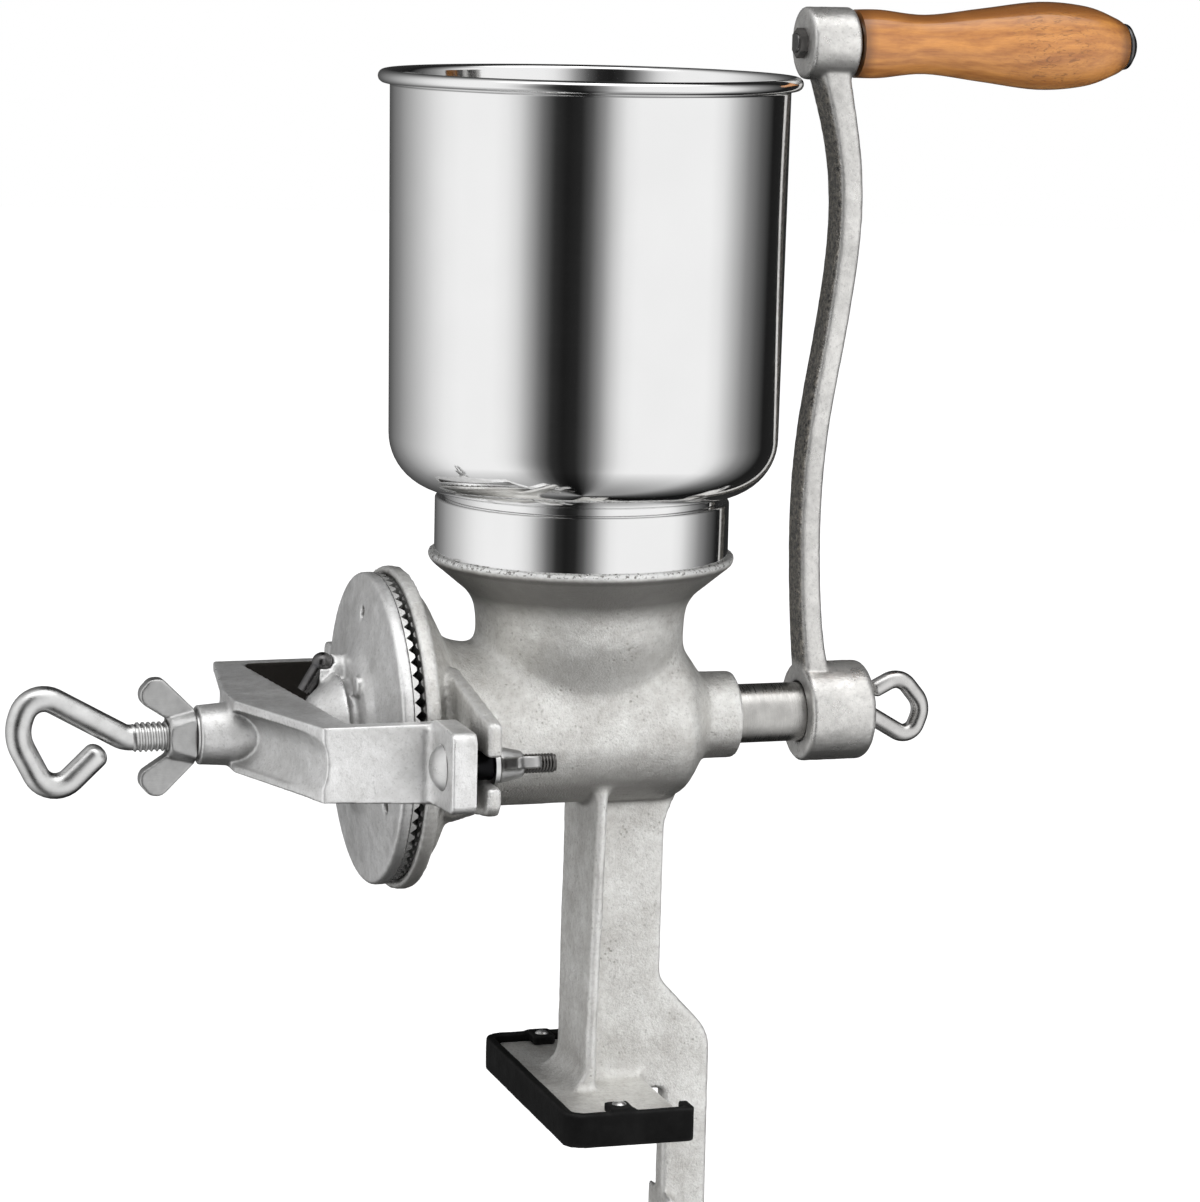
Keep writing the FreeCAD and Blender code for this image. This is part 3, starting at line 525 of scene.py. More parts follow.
def body_metal(effects, colour):
    """Body casting whose funnel lip is rubbed bright, with dark specks and a dark line under it."""
    material = cast_metal("Body casting", effects, colour)
    tree, shader, place, plated = reopened(material)
    height = parts_of(tree, place)["Z"]
    specks = spread(tree, noise(tree, place, 0.0012, 3.0, 0.6), 0.38, 0.47)
    lip = mix(tree, specks, shaded(colour, 0.3), (0.88, 0.88, 0.87))
    base = mix(tree, spread(tree, height, *LIP_Z), plated, lip)
    base = wash(tree, base, band(tree, height, *LIP_LINE_Z), 0.7, shaded(colour, 0.2))
    tree.links.new(base, shader.inputs["Base Color"])
    return material


def yoke_metal(effects, colour):
    """Bright casting with painted shade, near black, on the inner face of the rear arm."""
    material = cast_metal("Yoke casting", effects, colour, dull=0.36, depth=0.00014, pits=0.25)
    tree, shader, place, plated = reopened(material)
    # Painted shade: faces of the rear arm that look towards the front are coloured near black.
    rear = maths(tree, "MULTIPLY", spread(tree, parts_of(tree, place)["Y"], *REAR_ARM_Y),
                 spread(tree, facing(tree)["Y"], -0.3, -0.7))
    tree.links.new(mix(tree, rear, plated, (0.03, 0.027, 0.024)), shader.inputs["Base Color"])
    return material


def mirror_steel(effects, colour):
    """Polished drawn sheet with faint polishing lines and handling marks."""
    material, tree, shader, place = new_material("Polished sheet")
    lines = use(tree, effects["scratches"], stretched(tree, place, (1.0, 1.0, 14.0)),
                Length=1.0, Fineness=0.012)
    smear = noise(tree, place, 0.02, 3.0)
    rough = maths(tree, "MULTIPLY_ADD", spread(tree, lines.outputs["Lines"], 0.3, 0.7), 0.035,
                  spread(tree, smear, 0.3, 0.7, 0.035, 0.075))
    tree.links.new(rough, shader.inputs["Roughness"])
    tint = spread(tree, noise(tree, place, 0.03, 2.0), 0.3, 0.7)
    tree.links.new(mix(tree, tint, shaded(colour, 0.97), colour), shader.inputs["Base Color"])
    shader.inputs["Metallic"].default_value = 1.0
    wave = noise(tree, stretched(tree, place, (1.0, 1.0, 0.35)), 0.012, 2.0)
    add_bump(tree, shader, wave, 0.00002, 0.6)
    return material


def zinc_metal(name, effects, colour, dull=0.3, depth=0.00004):
    """Zinc plated steel, a little cloudy, with fine drawing lines."""
    material, tree, shader, place = new_material(name)
    lines = use(tree, effects["scratches"], place, Length=10.0, Fineness=0.0005)
    wear = use(tree, effects["wear"], place, Edge=0.05)
    crevice = use(tree, effects["crevice"], place, Reach=0.003)
    cloud = spread(tree, noise(tree, place, 0.005, 4.0), 0.3, 0.7)
    base = mix(tree, cloud, shaded(colour, 0.82), lifted(colour, 1.12))
    base = wash(tree, base, wear.outputs["Bright"], 0.5, (0.9, 0.9, 0.89))
    # Painted shade and dirt where faces meet.
    base = wash(tree, base, crevice.outputs["Dirt"], 0.7, (0.08, 0.075, 0.07))
    tree.links.new(base, shader.inputs["Base Color"])
    rough = maths(tree, "MULTIPLY_ADD", lines.outputs["Lines"], 0.12,
                  spread(tree, cloud, 0.0, 1.0, dull - 0.1, dull))
    tree.links.new(rough, shader.inputs["Roughness"])
    shader.inputs["Metallic"].default_value = 1.0
    add_bump(tree, shader, lines.outputs["Lines"], depth)
    return material


def turned_metal(name, effects, colour, dull=0.28):
    """Lathe turned steel with fine rings round the X axis."""
    material, tree, shader, place = new_material(name)
    rings = use(tree, effects["scratches"], stretched(tree, place, (1.0, 0.05, 0.05)),
                Length=1.0, Fineness=0.0003)
    cloud = spread(tree, noise(tree, place, 0.006, 3.0), 0.3, 0.7)
    base = mix(tree, cloud, shaded(colour, 0.8), lifted(colour, 1.1))
    tree.links.new(base, shader.inputs["Base Color"])
    rough = spread(tree, rings.outputs["Lines"], 0.3, 0.7, dull - 0.06, dull + 0.12)
    tree.links.new(rough, shader.inputs["Roughness"])
    shader.inputs["Metallic"].default_value = 1.0
    add_bump(tree, shader, rings.outputs["Lines"], 0.00003)
    return material


def bolt_steel(effects, colour):
    """Zinc plated bolt head on a black shank and thread."""
    material = zinc_metal("Bolt steel", effects, colour)
    tree, shader, place, plated = reopened(material)
    along = parts_of(tree, place)["X"]
    black = maths(tree, "GREATER_THAN", along, BOLT_SHANK_X)
    thread = maths(tree, "GREATER_THAN", along, BOLT_THREAD_X)
    dark = mix(tree, thread, (0.012, 0.012, 0.013), (0.16, 0.155, 0.15))
    tree.links.new(mix(tree, black, plated, dark), shader.inputs["Base Color"])
    return material


def black_steel(effects, name="Black oxide", dull=0.28, metal=0.3, shade=1.0):
    """Black oxide with rubbed edges."""
    material, tree, shader, place = new_material(name)
    skin = use(tree, effects["grain"], place, Grain_Size=0.0005, Pits=0.3)
    wear = use(tree, effects["wear"], place)
    low = shaded((0.012, 0.012, 0.013), shade)
    high = shaded((0.035, 0.034, 0.033), shade)
    base = mix(tree, spread(tree, skin.outputs["Tone"], 0.3, 0.7), low, high)
    base = wash(tree, base, wear.outputs["Bright"], 0.5, (0.22, 0.21, 0.2))
    tree.links.new(base, shader.inputs["Base Color"])
    tree.links.new(spread(tree, skin.outputs["Dull"], 0.3, 0.7, dull, dull + 0.2), shader.inputs["Roughness"])
    shader.inputs["Metallic"].default_value = metal
    shader.inputs["Specular IOR Level"].default_value = 0.15
    add_bump(tree, shader, skin.outputs["Height"], 0.00006)
    return material


def varnished_wood(light, dark):
    """Turned wood with long grain, a swirl near the end, painted shade on its top and a glossy varnish."""
    material, tree, shader, place = new_material("Varnished wood")
    warp = put(tree, "ShaderNodeTexNoise", {"Vector": stretched(tree, place, (14.0, 40.0, 40.0)),
                                            "Scale": 1.0, "Detail": 3.0})
    push = put(tree, "ShaderNodeVectorMath", {0: warp.outputs["Color"], 1: (0.0, 0.02, 0.02)},
               operation="MULTIPLY")
    bent = put(tree, "ShaderNodeVectorMath", {0: place, 1: push.outputs["Vector"]}, operation="ADD")
    long_way = stretched(tree, bent.outputs["Vector"], (0.3, 1.0, 1.0))
    rings = put(tree, "ShaderNodeTexWave", {"Vector": long_way, "Scale": 62.0, "Distortion": 5.0,
                                            "Detail": 3.0, "Detail Scale": 2.2},
                wave_type="BANDS", bands_direction="Z")
    pores = noise(tree, stretched(tree, place, (0.08, 1.0, 1.0)), 0.0007, 4.0, 0.7)
    clouds = noise(tree, stretched(tree, bent.outputs["Vector"], (0.4, 1.0, 1.0)), 0.006, 3.0)
    tone = maths(tree, "MULTIPLY_ADD", rings.outputs["Fac"], 0.14, maths(tree, "MULTIPLY", pores, 0.5))
    tone = maths(tree, "MULTIPLY_ADD", clouds, 0.36, tone)
    base = mix(tree, spread(tree, tone, 0.3, 0.72), dark, light)
    along = parts_of(tree, place)["X"]
    strokes = noise(tree, stretched(tree, bent.outputs["Vector"], (0.28, 1.0, 1.0)), 0.0011, 3.0, 0.6, 1.4)
    strokes = maths(tree, "MULTIPLY", spread(tree, strokes, 0.44, 0.36), band(tree, along, *GRIP_SWIRL_X))
    base = wash(tree, base, strokes, 0.55, shaded(dark, 0.5))
    stain = maths(tree, "MAXIMUM", spread(tree, along, *GRIP_OUTER_STAIN_X),
                  spread(tree, along, *GRIP_INNER_STAIN_X))
    base = wash(tree, base, stain, 0.7, shaded(dark, 0.4))
    # Painted shade: faces that point up are darkened.
    painted_top_shade = spread(tree, facing(tree)["Z"], 0.66, 0.82)
    base = wash(tree, base, painted_top_shade, 0.75, shaded(dark, 0.7))
    tree.links.new(base, shader.inputs["Base Color"])
    tree.links.new(spread(tree, pores, 0.3, 0.7, 0.36, 0.5), shader.inputs["Roughness"])
    shader.inputs["Coat Weight"].default_value = 1.0
    shader.inputs["Coat Roughness"].default_value = 0.06
    add_bump(tree, shader, maths(tree, "SUBTRACT", tone, strokes), 0.00016, 0.6)
    return material


def matte_rubber(effects, colour):
    material, tree, shader, place = new_material("Black rubber")
    skin = use(tree, effects["grain"], place, Grain_Size=0.0012, Pits=0.15)
    wear = use(tree, effects["wear"], place)
    base = mix(tree, spread(tree, skin.outputs["Tone"], 0.3, 0.7), shaded(colour, 0.7), shaded(colour, 1.7))
    base = wash(tree, base, wear.outputs["Bright"], 0.4, (0.04, 0.04, 0.04))
    tree.links.new(base, shader.inputs["Base Color"])
    tree.links.new(spread(tree, skin.outputs["Dull"], 0.3, 0.7, 0.5, 0.7), shader.inputs["Roughness"])
    shader.inputs["Specular IOR Level"].default_value = 0.06
    add_bump(tree, shader, skin.outputs["Height"], 0.00008)
    return material


def make_finishes(colours):
    """Every material of the mill, by its slot or its use."""
    effects = {"grain": cast_grain_group(), "wear": edge_wear_group(), "scratches": scratches_group(),
               "crevice": crevice_group()}
    return {
        "cast_iron": body_metal(effects, tuple(colours.casting)),
        "cast_yoke": yoke_metal(effects, tuple(colours.bright_casting)),
        "cast_bright": cast_metal("Bright casting", effects, tuple(colours.bright_casting), dull=0.36,
                                  depth=0.00014, pits=0.25),
        "burr_iron": cast_metal("Burr iron", effects, (0.72, 0.72, 0.70), dull=0.34, depth=0.0001, pits=0.2),
        "crank_iron": crank_metal(effects, tuple(colours.crank)),
        "polished_steel": mirror_steel(effects, tuple(colours.sheet_steel)),
        "turned_steel": turned_metal("Turned steel", effects, (0.60, 0.59, 0.57)),
        "zinc_steel": zinc_metal("Zinc steel", effects, tuple(colours.zinc)),
        "cast_zinc": zinc_metal("Cast zinc", effects, shaded(colours.zinc, 0.72), dull=0.4, depth=0.00008),
        "dark_wire": zinc_metal("Dark wire", effects, (0.68, 0.67, 0.66), dull=0.26),
        "black_steel": black_steel(effects),
        "black_gloss": black_steel(effects, "Black gloss", 0.08, 1.0, 7.0),
        "bolt_steel": bolt_steel(effects, tuple(colours.zinc)),
        "varnished_wood": varnished_wood(tuple(colours.wood_light), tuple(colours.wood_dark)),
        "black_rubber": matte_rubber(effects, tuple(colours.rubber)),
    }


def finish_named(name):
    """The material made for a slot or use; the first call makes them all."""
    if not made_finishes:
        made_finishes.update(make_finishes(bpy.context.scene.mill_colours))
    return made_finishes[name]


made_finishes = {}


# Hopper

class MILL_OT_hopper_bowl(bpy.types.Operator):
    """Polished bowl with a rolled rim"""
    bl_idname = "mill.hopper_bowl"
    bl_label = "Hopper Bowl"

    def execute(self, context):
        sheet = context.scene.mill_sizes.sheet / MM
        low, high = (corner.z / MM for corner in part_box("hopper_bowl"))
        hole_r = 38.0
        wall_r = 62.0
        bottom_r = 18.0
        top_r = 63.2
        rim_r = 67.0
        bead_r = 2.1
        rim_z = high - bead_r
        outer = [(low, hole_r), (low, wall_r, bottom_r), (rim_z - 2.6, top_r - 0.02, 0.8)]
        bead = []
        bead_steps = 20
        for step in range(bead_steps + 1):
            angle = math.radians(-110 + 300 * step / bead_steps)
            bead.append((rim_z + bead_r * math.sin(angle), rim_r - bead_r + bead_r * math.cos(angle)))
        inner = [(rim_z - 3.4, top_r - sheet), (low + sheet, wall_r - sheet, bottom_r - 1.0),
                 (low + sheet, hole_r)]
        profile = outer + bead + inner + [(low, hole_r)]
        bowl = turned("bowl_shell", profile, "Z", steps=192, arc_steps=14)
        smooth_shade(bowl, 40)
        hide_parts("hopper_bowl")
        finish(bowl, "hopper", "polished_steel")
        return {"FINISHED"}


class MILL_OT_hopper_neck(bpy.types.Operator):
    """Polished ring under the bowl"""
    bl_idname = "mill.hopper_neck"
    bl_label = "Hopper Neck"

    def execute(self, context):
        sheet = context.scene.mill_sizes.sheet / MM
        low, high = (corner.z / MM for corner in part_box("hopper_neck"))
        ring_r = 47.1
        collar_r = 44.0
        top = high - 2.2
        profile = [
            (low, ring_r - sheet), (low, ring_r, 0.3), (top, ring_r, 0.9), (top, collar_r, 0.4),
            (high, collar_r), (high, collar_r - sheet), (top - sheet, collar_r - sheet, 0.3),
            (top - sheet, ring_r - sheet, 0.5), (low, ring_r - sheet)]
        neck = turned("neck_ring", profile, "Z", steps=192)
        smooth_shade(neck, 40)
        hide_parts("hopper_neck")
        finish(neck, "hopper", "polished_steel")
        return {"FINISHED"}


# Castings

class MILL_OT_body_casting(bpy.types.Operator):
    """Funnel, barrel, ears, leg and clamp in one casting"""
    bl_idname = "mill.body_casting"
    bl_label = "Body Casting"

    def execute(self, context):
        sizes = context.scene.mill_sizes
        shaft_z = sizes.shaft_height
        waist_r = 0.0338
        foot_top = 0.036
        foot_depth = 0.029
        foot_taper = 0.0098
        barrel_r = 0.0265
        seam_width = 0.013
        body = cast("main_body", "body_casting", sizes.cast_voxel, soften=3, skin=0.00013, skin_size=0.004)

        def funnel_seam(place):
            """How close a place is to where the funnel meets the barrel."""
            height = place.z - shaft_z
            if height < -0.004:
                return 0.0
            half_y = waist_r - foot_taper * min(1.0, max(0.0, (foot_top - height) / foot_depth))
            off_funnel = math.hypot(place.x, place.y * waist_r / half_y) - waist_r
            off_barrel = math.hypot(place.y, height) - barrel_r
            return 1.0 - math.hypot(off_funnel, off_barrel) / seam_width

        smooth_near(body, funnel_seam, 60)
        finish(body, "frame", "cast_iron")
        return {"FINISHED"}


class MILL_OT_yoke_casting(bpy.types.Operator):
    """Yoke with its boss and lugs"""
    bl_idname = "mill.yoke_casting"
    bl_label = "Yoke Casting"

    def execute(self, context):
        yoke = cast("yoke", "yoke_casting", 0.00055, soften=3, skin=0.00006, skin_size=0.003)
        finish(yoke, "frame", "cast_yoke")
        return {"FINISHED"}


class MILL_OT_rotor(bpy.types.Operator):
    """Dished rotor disc and the burr rings"""
    bl_idname = "mill.rotor"
    bl_label = "Rotor Disc and Burrs"

    def execute(self, context):
        disc = cast("rotor_disc", "disc_casting", 0.0007, soften=2, skin=0.00006, skin_size=0.003)
        finish(disc, "crank", "cast_bright")
        for node in ("fixed_burr", "rotating_burr"):
            dress(node, "burr_iron")
        return {"FINISHED"}


class MILL_OT_crank(bpy.types.Operator):
    """Curved crank casting with its hub and eye"""
    bl_idname = "mill.crank"
    bl_label = "Crank Casting"

    def execute(self, context):
        crank = cast("crank_arm", "crank_casting", 0.0007, soften=2, skin=0.0001, skin_size=0.003)
        finish(crank, "crank", "crank_iron")
        return {"FINISHED"}


class MILL_OT_wing_nuts(bpy.types.Operator):
    """Three wing nuts"""
    bl_idname = "mill.wing_nuts"
    bl_label = "Wing Nuts"

    def execute(self, context):
        voxel = context.scene.mill_sizes.small_voxel
        for node, body in (("lock_wing_nut", "lock_nut"), ("yoke_wing_nut_front", "front_nut"),
                           ("yoke_wing_nut_rear", "rear_nut")):
            nut = cast(node, node + "_casting", voxel, soften=4, skin=0.00006, skin_size=0.002)
            finish(nut, body, "cast_zinc")
        return {"FINISHED"}


# Bent screws

def wire_route(points, radii, steps=10):
    """Places along straight runs with round bends, in metres."""
    done = [points[0]]
    for before, corner, after, radius in zip(points, points[1:], points[2:], radii):
        to_before = (before - corner).normalized()
        to_after = (after - corner).normalized()
        half = to_before.angle(to_after) / 2
        reach = radius / math.tan(half)
        centre = corner + (to_before + to_after).normalized() * (radius / math.sin(half))
        first = corner + to_before * reach - centre
        last = corner + to_after * reach - centre
        for step in range(steps + 1):
            part = step / steps
            whole = math.pi - 2 * half
            spot = (first * math.sin((1 - part) * whole) + last * math.sin(part * whole)) / math.sin(whole)
            done.append(centre + spot)
    done.append(points[-1])
    return done


def bent_rod(name, places, radius):
    """A round wire along a route, whose last end is rounded."""
    curve = bpy.data.curves.new(name, "CURVE")
    curve.dimensions = "3D"
    curve.bevel_depth = radius
    curve.bevel_resolution = 8
    curve.use_fill_caps = True
    forward = (places[-1] - places[-2]).normalized()
    stations = [(place, 1.0) for place in places[:-1]]
    for step in range(7):
        angle = math.radians(13 * step)
        stations.append((places[-1] - forward * radius * 0.8 * (1 - math.sin(angle)), math.cos(angle)))
    spline = curve.splines.new("POLY")
    spline.points.add(len(stations) - 1)
    for point, (place, share) in zip(spline.points, stations):
        point.co = (*place, 1.0)
        point.radius = share
    rod = bpy.data.objects.new(name, curve)
    bpy.context.scene.collection.objects.link(rod)
    make_active(rod)
    bpy.ops.object.convert(target="MESH")
    rod = bpy.context.object
    rod.name = name
    close_up(rod, 1e-6)
    return rod


def helical_thread(name, start_x, end_x, crest_r, pitch, core_r):
    """A real screw thread on the X axis, fading out at both ends."""
    root_r = crest_r - 0.58 * pitch
    flat = 0.09 * pitch
    half = pitch / 2
    tooth = [(0, root_r), (half - flat, crest_r), (half + flat, crest_r), (pitch, root_r)]
    piece = line_through([Vector((start_x + x, 0, r)) for x, r in tooth])
    bpy.ops.object.mode_set(mode="OBJECT")
    settle(piece, name)
    turns = int((end_x - start_x) / pitch) - 1
    apply_modifier(piece, "SCREW", axis="X", angle=2 * math.pi, screw_offset=pitch, iterations=turns,
                   steps=36, render_steps=36, use_merge_vertices=True, merge_threshold=1e-6)
    fade = 1.2 * pitch
    for vertex in piece.data.vertices:
        radius = math.hypot(vertex.co.y, vertex.co.z)
        near_end = min(vertex.co.x - start_x, start_x + (turns + 1) * pitch - vertex.co.x)
        keep = min(1.0, max(0.0, near_end / fade))
        wanted = core_r + (radius - core_r) * keep
        vertex.co.y *= wanted / radius
        vertex.co.z *= wanted / radius
    return close_up(piece, ends=True)


def joined(name, pieces):
    make_active(pieces[0])
    for piece in pieces:
        piece.select_set(True)
    bpy.ops.object.join()
    pieces[0].name = name
    pieces[0].data.name = name
    return pieces[0]


def eye_screw(name, context, turn_x, thread_start_x, thread_end_x):
    """A threaded stem along -X that ends in a bent eye."""
    sizes = context.scene.mill_sizes
    shape = [(thread_end_x, 0), (turn_x, 0), (turn_x - 0.0295, 0.0165), (turn_x - 0.0343, 0.002),
             (turn_x - 0.0235, -0.019), (turn_x - 0.0068, -0.0031)]
    places = [Vector((x, 0, z)) for x, z in shape]
    radii = [0.007, 0.007, 0.013, 0.007]
    rod = bent_rod(name, wire_route(places, radii), sizes.wire_radius)
    crest_r = 0.0047
    thread = helical_thread(name + "_thread", thread_start_x, thread_end_x, crest_r, sizes.thread_pitch,
                            sizes.wire_radius - 0.0001)
    return joined(name, [rod, thread])


class MILL_OT_adjusting_screw(bpy.types.Operator):
    """Bent eye screw in the yoke"""
    bl_idname = "mill.adjusting_screw"
    bl_label = "Adjusting Screw"

    def execute(self, context):
        screw = eye_screw("adjusting_eye", context, -0.148, -0.1465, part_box("adjusting_screw")[1].x)
        screw.data.transform(Matrix.Translation((0, 0, context.scene.mill_sizes.shaft_height)))
        smooth_shade(screw, 50)
        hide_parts("adjusting_screw")
        finish(screw, "adjuster", "zinc_steel")
        return {"FINISHED"}


class MILL_OT_crank_screw(bpy.types.Operator):
    """Bent eye screw that holds the crank"""
    bl_idname = "mill.crank_screw"
    bl_label = "Crank Screw"

    def execute(self, context):
        shaft_z = context.scene.mill_sizes.shaft_height
        shape = [(83, 0), (97.4, 0), (115.5, -10.8), (119.8, 0.5), (111.2, 10.9), (100.9, 5.7)]
        places = [Vector((x * MM, 0, shaft_z + z * MM)) for x, z in shape]
        radii = [r * MM for r in (3.4, 4.6, 7.5, 5.8)]
        wire_r = 0.00295
        screw = bent_rod("crank_eye", wire_route(places, radii), wire_r)
        smooth_shade(screw, 50)
        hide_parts("crank_screw")
        finish(screw, "crank", "dark_wire")
        return {"FINISHED"}


class MILL_OT_clamp_screw(bpy.types.Operator):
    """Table clamp screw with its pad"""
    bl_idname = "mill.clamp_screw"
    bl_label = "Clamp Screw"

    def execute(self, context):
        stem_top = -0.0515
        tip_low = -52.0
        tip_high = -45.4
        tip_r = 3.2
        clamp_x = 0.004
        screw = eye_screw("clamp_eye", context, -0.1125, -0.111, stem_top)
        tip = turned("clamp_tip", [(tip_low, 0), (tip_low, tip_r), (tip_high, tip_r), (tip_high, 0)], "X",
                     steps=48)
        screw = joined("clamp_eye", [screw, tip])
        screw.data.transform(Matrix.Rotation(math.radians(-90), 4, "Y"))
        screw.data.transform(Matrix.Translation((clamp_x, 0, 0)))
        smooth_shade(screw, 50)
        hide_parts("clamp_screw")
        finish(screw, "clamp", "zinc_steel")
        dress("clamp_pad", "zinc_steel")
        return {"FINISHED"}


# Grip

class MILL_OT_grip(bpy.types.Operator):
    """Turned wooden grip with its axle"""
    bl_idname = "mill.grip"
    bl_label = "Wooden Grip"

    def execute(self, context):
        low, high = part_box("grip")
        z = (low.z + high.z) / 2
        x0 = low.x / MM
        x1 = high.x / MM
        stations = [(x0, 10.9), (97, 10.9), (112.5, 9.5), (132, 11.8), (152, 14.2), (168, 13.0),
                    (178, 9.6), (x1, 7.6)]
        bore_r = 3.2
        profile = [(x0, bore_r)] + soft_line(stations, 6) + [(x1, bore_r), (x0, bore_r)]
        grip = turned("wood_grip", profile, "X", z=z, steps=96)
        smooth_shade(grip, 40)
        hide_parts("grip")
        finish(grip, "handle", "varnished_wood")
        dress("grip_axle", "black_gloss")
        dress("grip_nut", "black_steel")
        dress("grip_washer", "turned_steel")
        return {"FINISHED"}


def soft_line(stations, steps):
    """A smooth curve through (along, radius) stations."""
    done = []
    count = len(stations)
    for i in range(count - 1):
        p0 = Vector(stations[max(i - 1, 0)])
        p1 = Vector(stations[i])
        p2 = Vector(stations[i + 1])
        p3 = Vector(stations[min(i + 2, count - 1)])
        for step in range(steps):
            t = step / steps
            spot = 0.5 * (2 * p1 + (p2 - p0) * t + (2 * p0 - 5 * p1 + 4 * p2 - p3) * t * t
                          + (3 * p1 - p0 - 3 * p2 + p3) * t * t * t)
            done.append(tuple(spot))
    done.append(stations[-1])
    return done


# Seat and small steel parts

class MILL_OT_seat_rubber(bpy.types.Operator):
    """Rubber edging of the seat"""
    bl_idname = "mill.seat_rubber"
    bl_label = "Seat Rubber"

    def execute(self, context):
        rubber = cast("base_rubber", "rubber_edging", 0.0006, soften=3, skin=0.00012, skin_size=0.006)
        finish(rubber, "frame", "black_rubber")
        dress("rubber_screws", "zinc_steel")
        return {"FINISHED"}


class MILL_OT_small_steel(bpy.types.Operator):
    """Bolts, washers, pin, ball and shaft"""
    bl_idname = "mill.small_steel"
    bl_label = "Bolts, Pins and Shaft"

    def execute(self, context):
        dress("auger_shaft", "turned_steel")
        dress("thrust_ball", "turned_steel")
        for node in ("lock_washer", "yoke_washer_front", "yoke_washer_rear"):
            dress(node, "zinc_steel")
        for node in ("yoke_bolt_front", "yoke_bolt_rear"):
            dress(node, "bolt_steel")
        for node in ("rotor_pin", "hub_screw"):
            dress(node, "black_gloss")
        for node in ("fixed_burr_screws", "rotating_burr_screws"):
            dress(node, "black_steel")
        return {"FINISHED"}


# Stage

CAMERA_AZIMUTH = -17.633
CAMERA_PITCH = 9.541
CAMERA_ROLL = 1.264
CAMERA_DISTANCE = 1.3303
CAMERA_TARGET = Vector((0.0068, 0.0, 0.1667))
CAMERA_LENS = 123.8


def make_camera():
    azimuth = math.radians(CAMERA_AZIMUTH)
    pitch = math.radians(CAMERA_PITCH)
    roll = math.radians(CAMERA_ROLL)
    back = Vector((math.sin(azimuth) * math.cos(pitch), -math.cos(azimuth) * math.cos(pitch),
                   math.sin(pitch)))
    right = Vector((math.cos(azimuth), math.sin(azimuth), 0))
    up = back.cross(right)
    turned_right = right * math.cos(roll) + up * math.sin(roll)
    turned_up = up * math.cos(roll) - right * math.sin(roll)
    data = bpy.data.cameras.new("camera")
    data.lens = CAMERA_LENS
    data.sensor_width = 36.0
    data.clip_start = 0.05
    data.clip_end = 50.0
    camera = bpy.data.objects.new("camera", data)
    bpy.context.scene.collection.objects.link(camera)
    turn = Matrix((turned_right, turned_up, back)).transposed().to_4x4()
    camera.matrix_world = Matrix.Translation(CAMERA_TARGET + back * CAMERA_DISTANCE) @ turn
    bpy.context.scene.camera = camera


def make_floor():
    """Pale round floor under the clamp screw."""
    start_clean()
    bpy.ops.mesh.primitive_circle_add(vertices=96, radius=6.0, fill_type="NGON",
                                      location=(0, 0, CAD_BOX[0].z - 0.004))
    floor = bpy.context.object
    floor.name = "floor"
    floor.visible_glossy = False
    material, tree, shader, place = new_material("Pale floor")
    cloud = spread(tree, noise(tree, place, 0.5, 2.0), 0.3, 0.7)
    tree.links.new(mix(tree, cloud, (0.90, 0.90, 0.90), (0.92, 0.92, 0.92)), shader.inputs["Base Color"])
    shader.inputs["Roughness"].default_value = 0.9
    shader.inputs["Specular IOR Level"].default_value = 0.0
    path = tree.nodes.new("ShaderNodeLightPath")
    away = put(tree, "ShaderNodeVectorMath", {0: place}, operation="LENGTH").outputs["Value"]
    glow = put(tree, "ShaderNodeEmission",
               {"Color": (1, 1, 1, 1), "Strength": spread(tree, away, 0.2, 2.0, 0.3, 0.62)})
    lit = put(tree, "ShaderNodeAddShader", {0: shader.outputs[0], 1: glow.outputs[0]})
    pick = put(tree, "ShaderNodeMixShader", {0: path.outputs["Is Camera Ray"], 1: shader.outputs[0],
                                             2: lit.outputs[0]})
    tree.links.new(pick.outputs[0], tree.nodes["Material Output"].inputs["Surface"])
    floor.data.materials.append(material)


LAMP_SIZE = 1.2
LAMPS = [("lamp_left", (-1.3, -1.1, 1.4), 26), ("lamp_right", (0.9, -1.7, 0.9), 34)]


def make_lamp(name, place, power):
    """A soft lamp that points at the middle of the mill."""
    data = bpy.data.lights.new(name, "AREA")
    data.shape = "DISK"
    data.size = LAMP_SIZE
    data.energy = power
    lamp = bpy.data.objects.new(name, data)
    bpy.context.scene.collection.objects.link(lamp)
    lamp.location = place
    lamp.rotation_mode = "QUATERNION"
    lamp.rotation_quaternion = (Vector(place) - CAMERA_TARGET).to_track_quat("Z", "Y")
    lamp.visible_glossy = False


# Soft boxes of the studio, as (degrees to the right of the camera, brightness).
SOFT_BOXES = [(-180, 0.03), (-158, 0.12), (-140, 0.25), (-123, 0.44), (-110, 0.61), (-99, 0.77), (-89, 0.88),
              (-78, 0.93), (-55, 0.93), (-47, 0.86), (-40, 0.70), (-33, 0.40), (-26, 0.15), (-19, 0.03),
              (-12, 0.012), (-4, 0.02), (2, 0.09), (9, 0.30), (15, 0.61), (22, 0.86), (29, 0.93), (75, 0.93),
              (84, 0.82), (94, 0.53), (105, 0.26), (117, 0.11), (131, 0.012), (180, 0.03)]


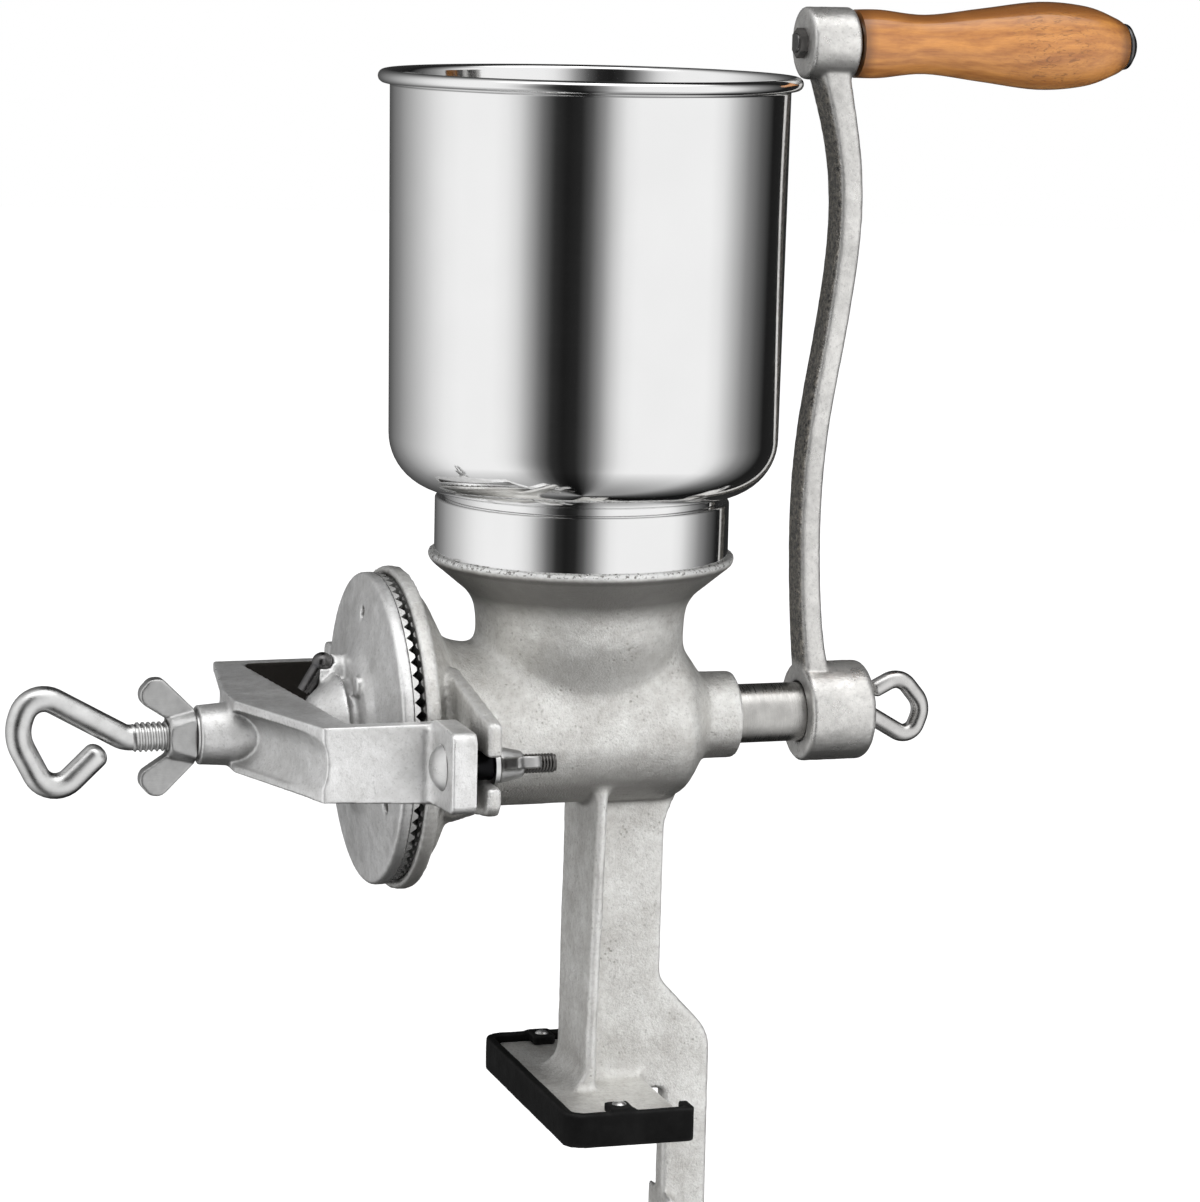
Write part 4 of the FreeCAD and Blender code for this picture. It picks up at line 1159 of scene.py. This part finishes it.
def make_world():
    """White behind the mill; metal sees two wide soft boxes in a darker room."""
    world = bpy.data.worlds.new("studio")
    bpy.context.scene.world = world
    world.use_nodes = True
    tree = world.node_tree
    tree.nodes.clear()
    direction = tree.nodes.new("ShaderNodeTexCoord").outputs["Generated"]
    turned_room = put(tree, "ShaderNodeMapping", {"Vector": direction,
                                                  "Rotation": (0, 0, math.radians(90 - CAMERA_AZIMUTH))})
    around = put(tree, "ShaderNodeTexGradient", {"Vector": turned_room.outputs["Vector"]},
                 gradient_type="RADIAL")
    boxes = ramp(tree, around.outputs["Fac"], [(0.5 + angle / 360, value) for angle, value in SOFT_BOXES])
    split = parts_of(tree, direction)
    height = split["Z"]
    above = spread(tree, height, -0.98, -0.55, 0.3, 1.0)
    low = put(tree, "ShaderNodeCombineColor", {"Red": above, "Green": above, "Blue": above}).outputs["Color"]
    room = mix(tree, 1.0, boxes, low, "MULTIPLY")
    overhead = maths(tree, "MULTIPLY", spread(tree, height, 0.7, 0.95), spread(tree, split["Y"], 0.03, -0.02))
    room = mix(tree, overhead, room, (2.2, 2.2, 2.2))
    path = tree.nodes.new("ShaderNodeLightPath")
    metal = put(tree, "ShaderNodeBackground", {"Color": room, "Strength": 1.0})
    even = put(tree, "ShaderNodeBackground", {"Color": (1, 1, 1, 1), "Strength": 0.5})
    white = put(tree, "ShaderNodeBackground", {"Color": (1, 1, 1, 1), "Strength": 1.0})
    first = put(tree, "ShaderNodeMixShader", {0: path.outputs["Is Glossy Ray"], 1: even.outputs[0],
                                              2: metal.outputs[0]})
    last = put(tree, "ShaderNodeMixShader", {0: path.outputs["Is Camera Ray"], 1: first.outputs[0],
                                             2: white.outputs[0]})
    out = tree.nodes.new("ShaderNodeOutputWorld")
    tree.links.new(last.outputs[0], out.inputs["Surface"])


class MILL_OT_stage(bpy.types.Operator):
    """Camera, floor, soft lamps and room"""
    bl_idname = "mill.stage"
    bl_label = "Stage"

    def execute(self, context):
        make_camera()
        make_floor()
        make_world()
        for name, place, power in LAMPS:
            make_lamp(name, place, power)
        context.scene.view_settings.view_transform = "Standard"
        return {"FINISHED"}


class MILL_PT_panel(bpy.types.Panel):
    """Lists the pieces of the mill"""
    bl_idname = "MILL_PT_panel"
    bl_label = "Mill"
    bl_space_type = "VIEW_3D"
    bl_region_type = "UI"
    bl_category = "Mill"

    def draw(self, context):
        for group in (context.scene.mill_sizes, context.scene.mill_colours):
            for name in group.bl_rna.properties.keys():
                if name not in ("rna_type", "name"):
                    self.layout.prop(group, name)
        for operator in OPERATORS:
            self.layout.operator(operator.bl_idname)


OPERATORS = [
    MILL_OT_hopper_bowl, MILL_OT_hopper_neck, MILL_OT_body_casting, MILL_OT_yoke_casting, MILL_OT_rotor,
    MILL_OT_crank, MILL_OT_wing_nuts, MILL_OT_adjusting_screw, MILL_OT_crank_screw, MILL_OT_clamp_screw,
    MILL_OT_grip, MILL_OT_seat_rubber, MILL_OT_small_steel, MILL_OT_stage]
CLASSES = [MillSizes, MillColours] + OPERATORS + [MILL_PT_panel]


def register():
    for part in CLASSES:
        bpy.utils.register_class(part)
    bpy.types.Scene.mill_sizes = bpy.props.PointerProperty(type=MillSizes)
    bpy.types.Scene.mill_colours = bpy.props.PointerProperty(type=MillColours)


def unregister():
    del bpy.types.Scene.mill_colours
    del bpy.types.Scene.mill_sizes
    for part in reversed(CLASSES):
        bpy.utils.unregister_class(part)


def main():
    register()
    for operator in OPERATORS:
        group, name = operator.bl_idname.split(".")
        getattr(getattr(bpy.ops, group), name)()


if __name__ == "__main__":
    main()
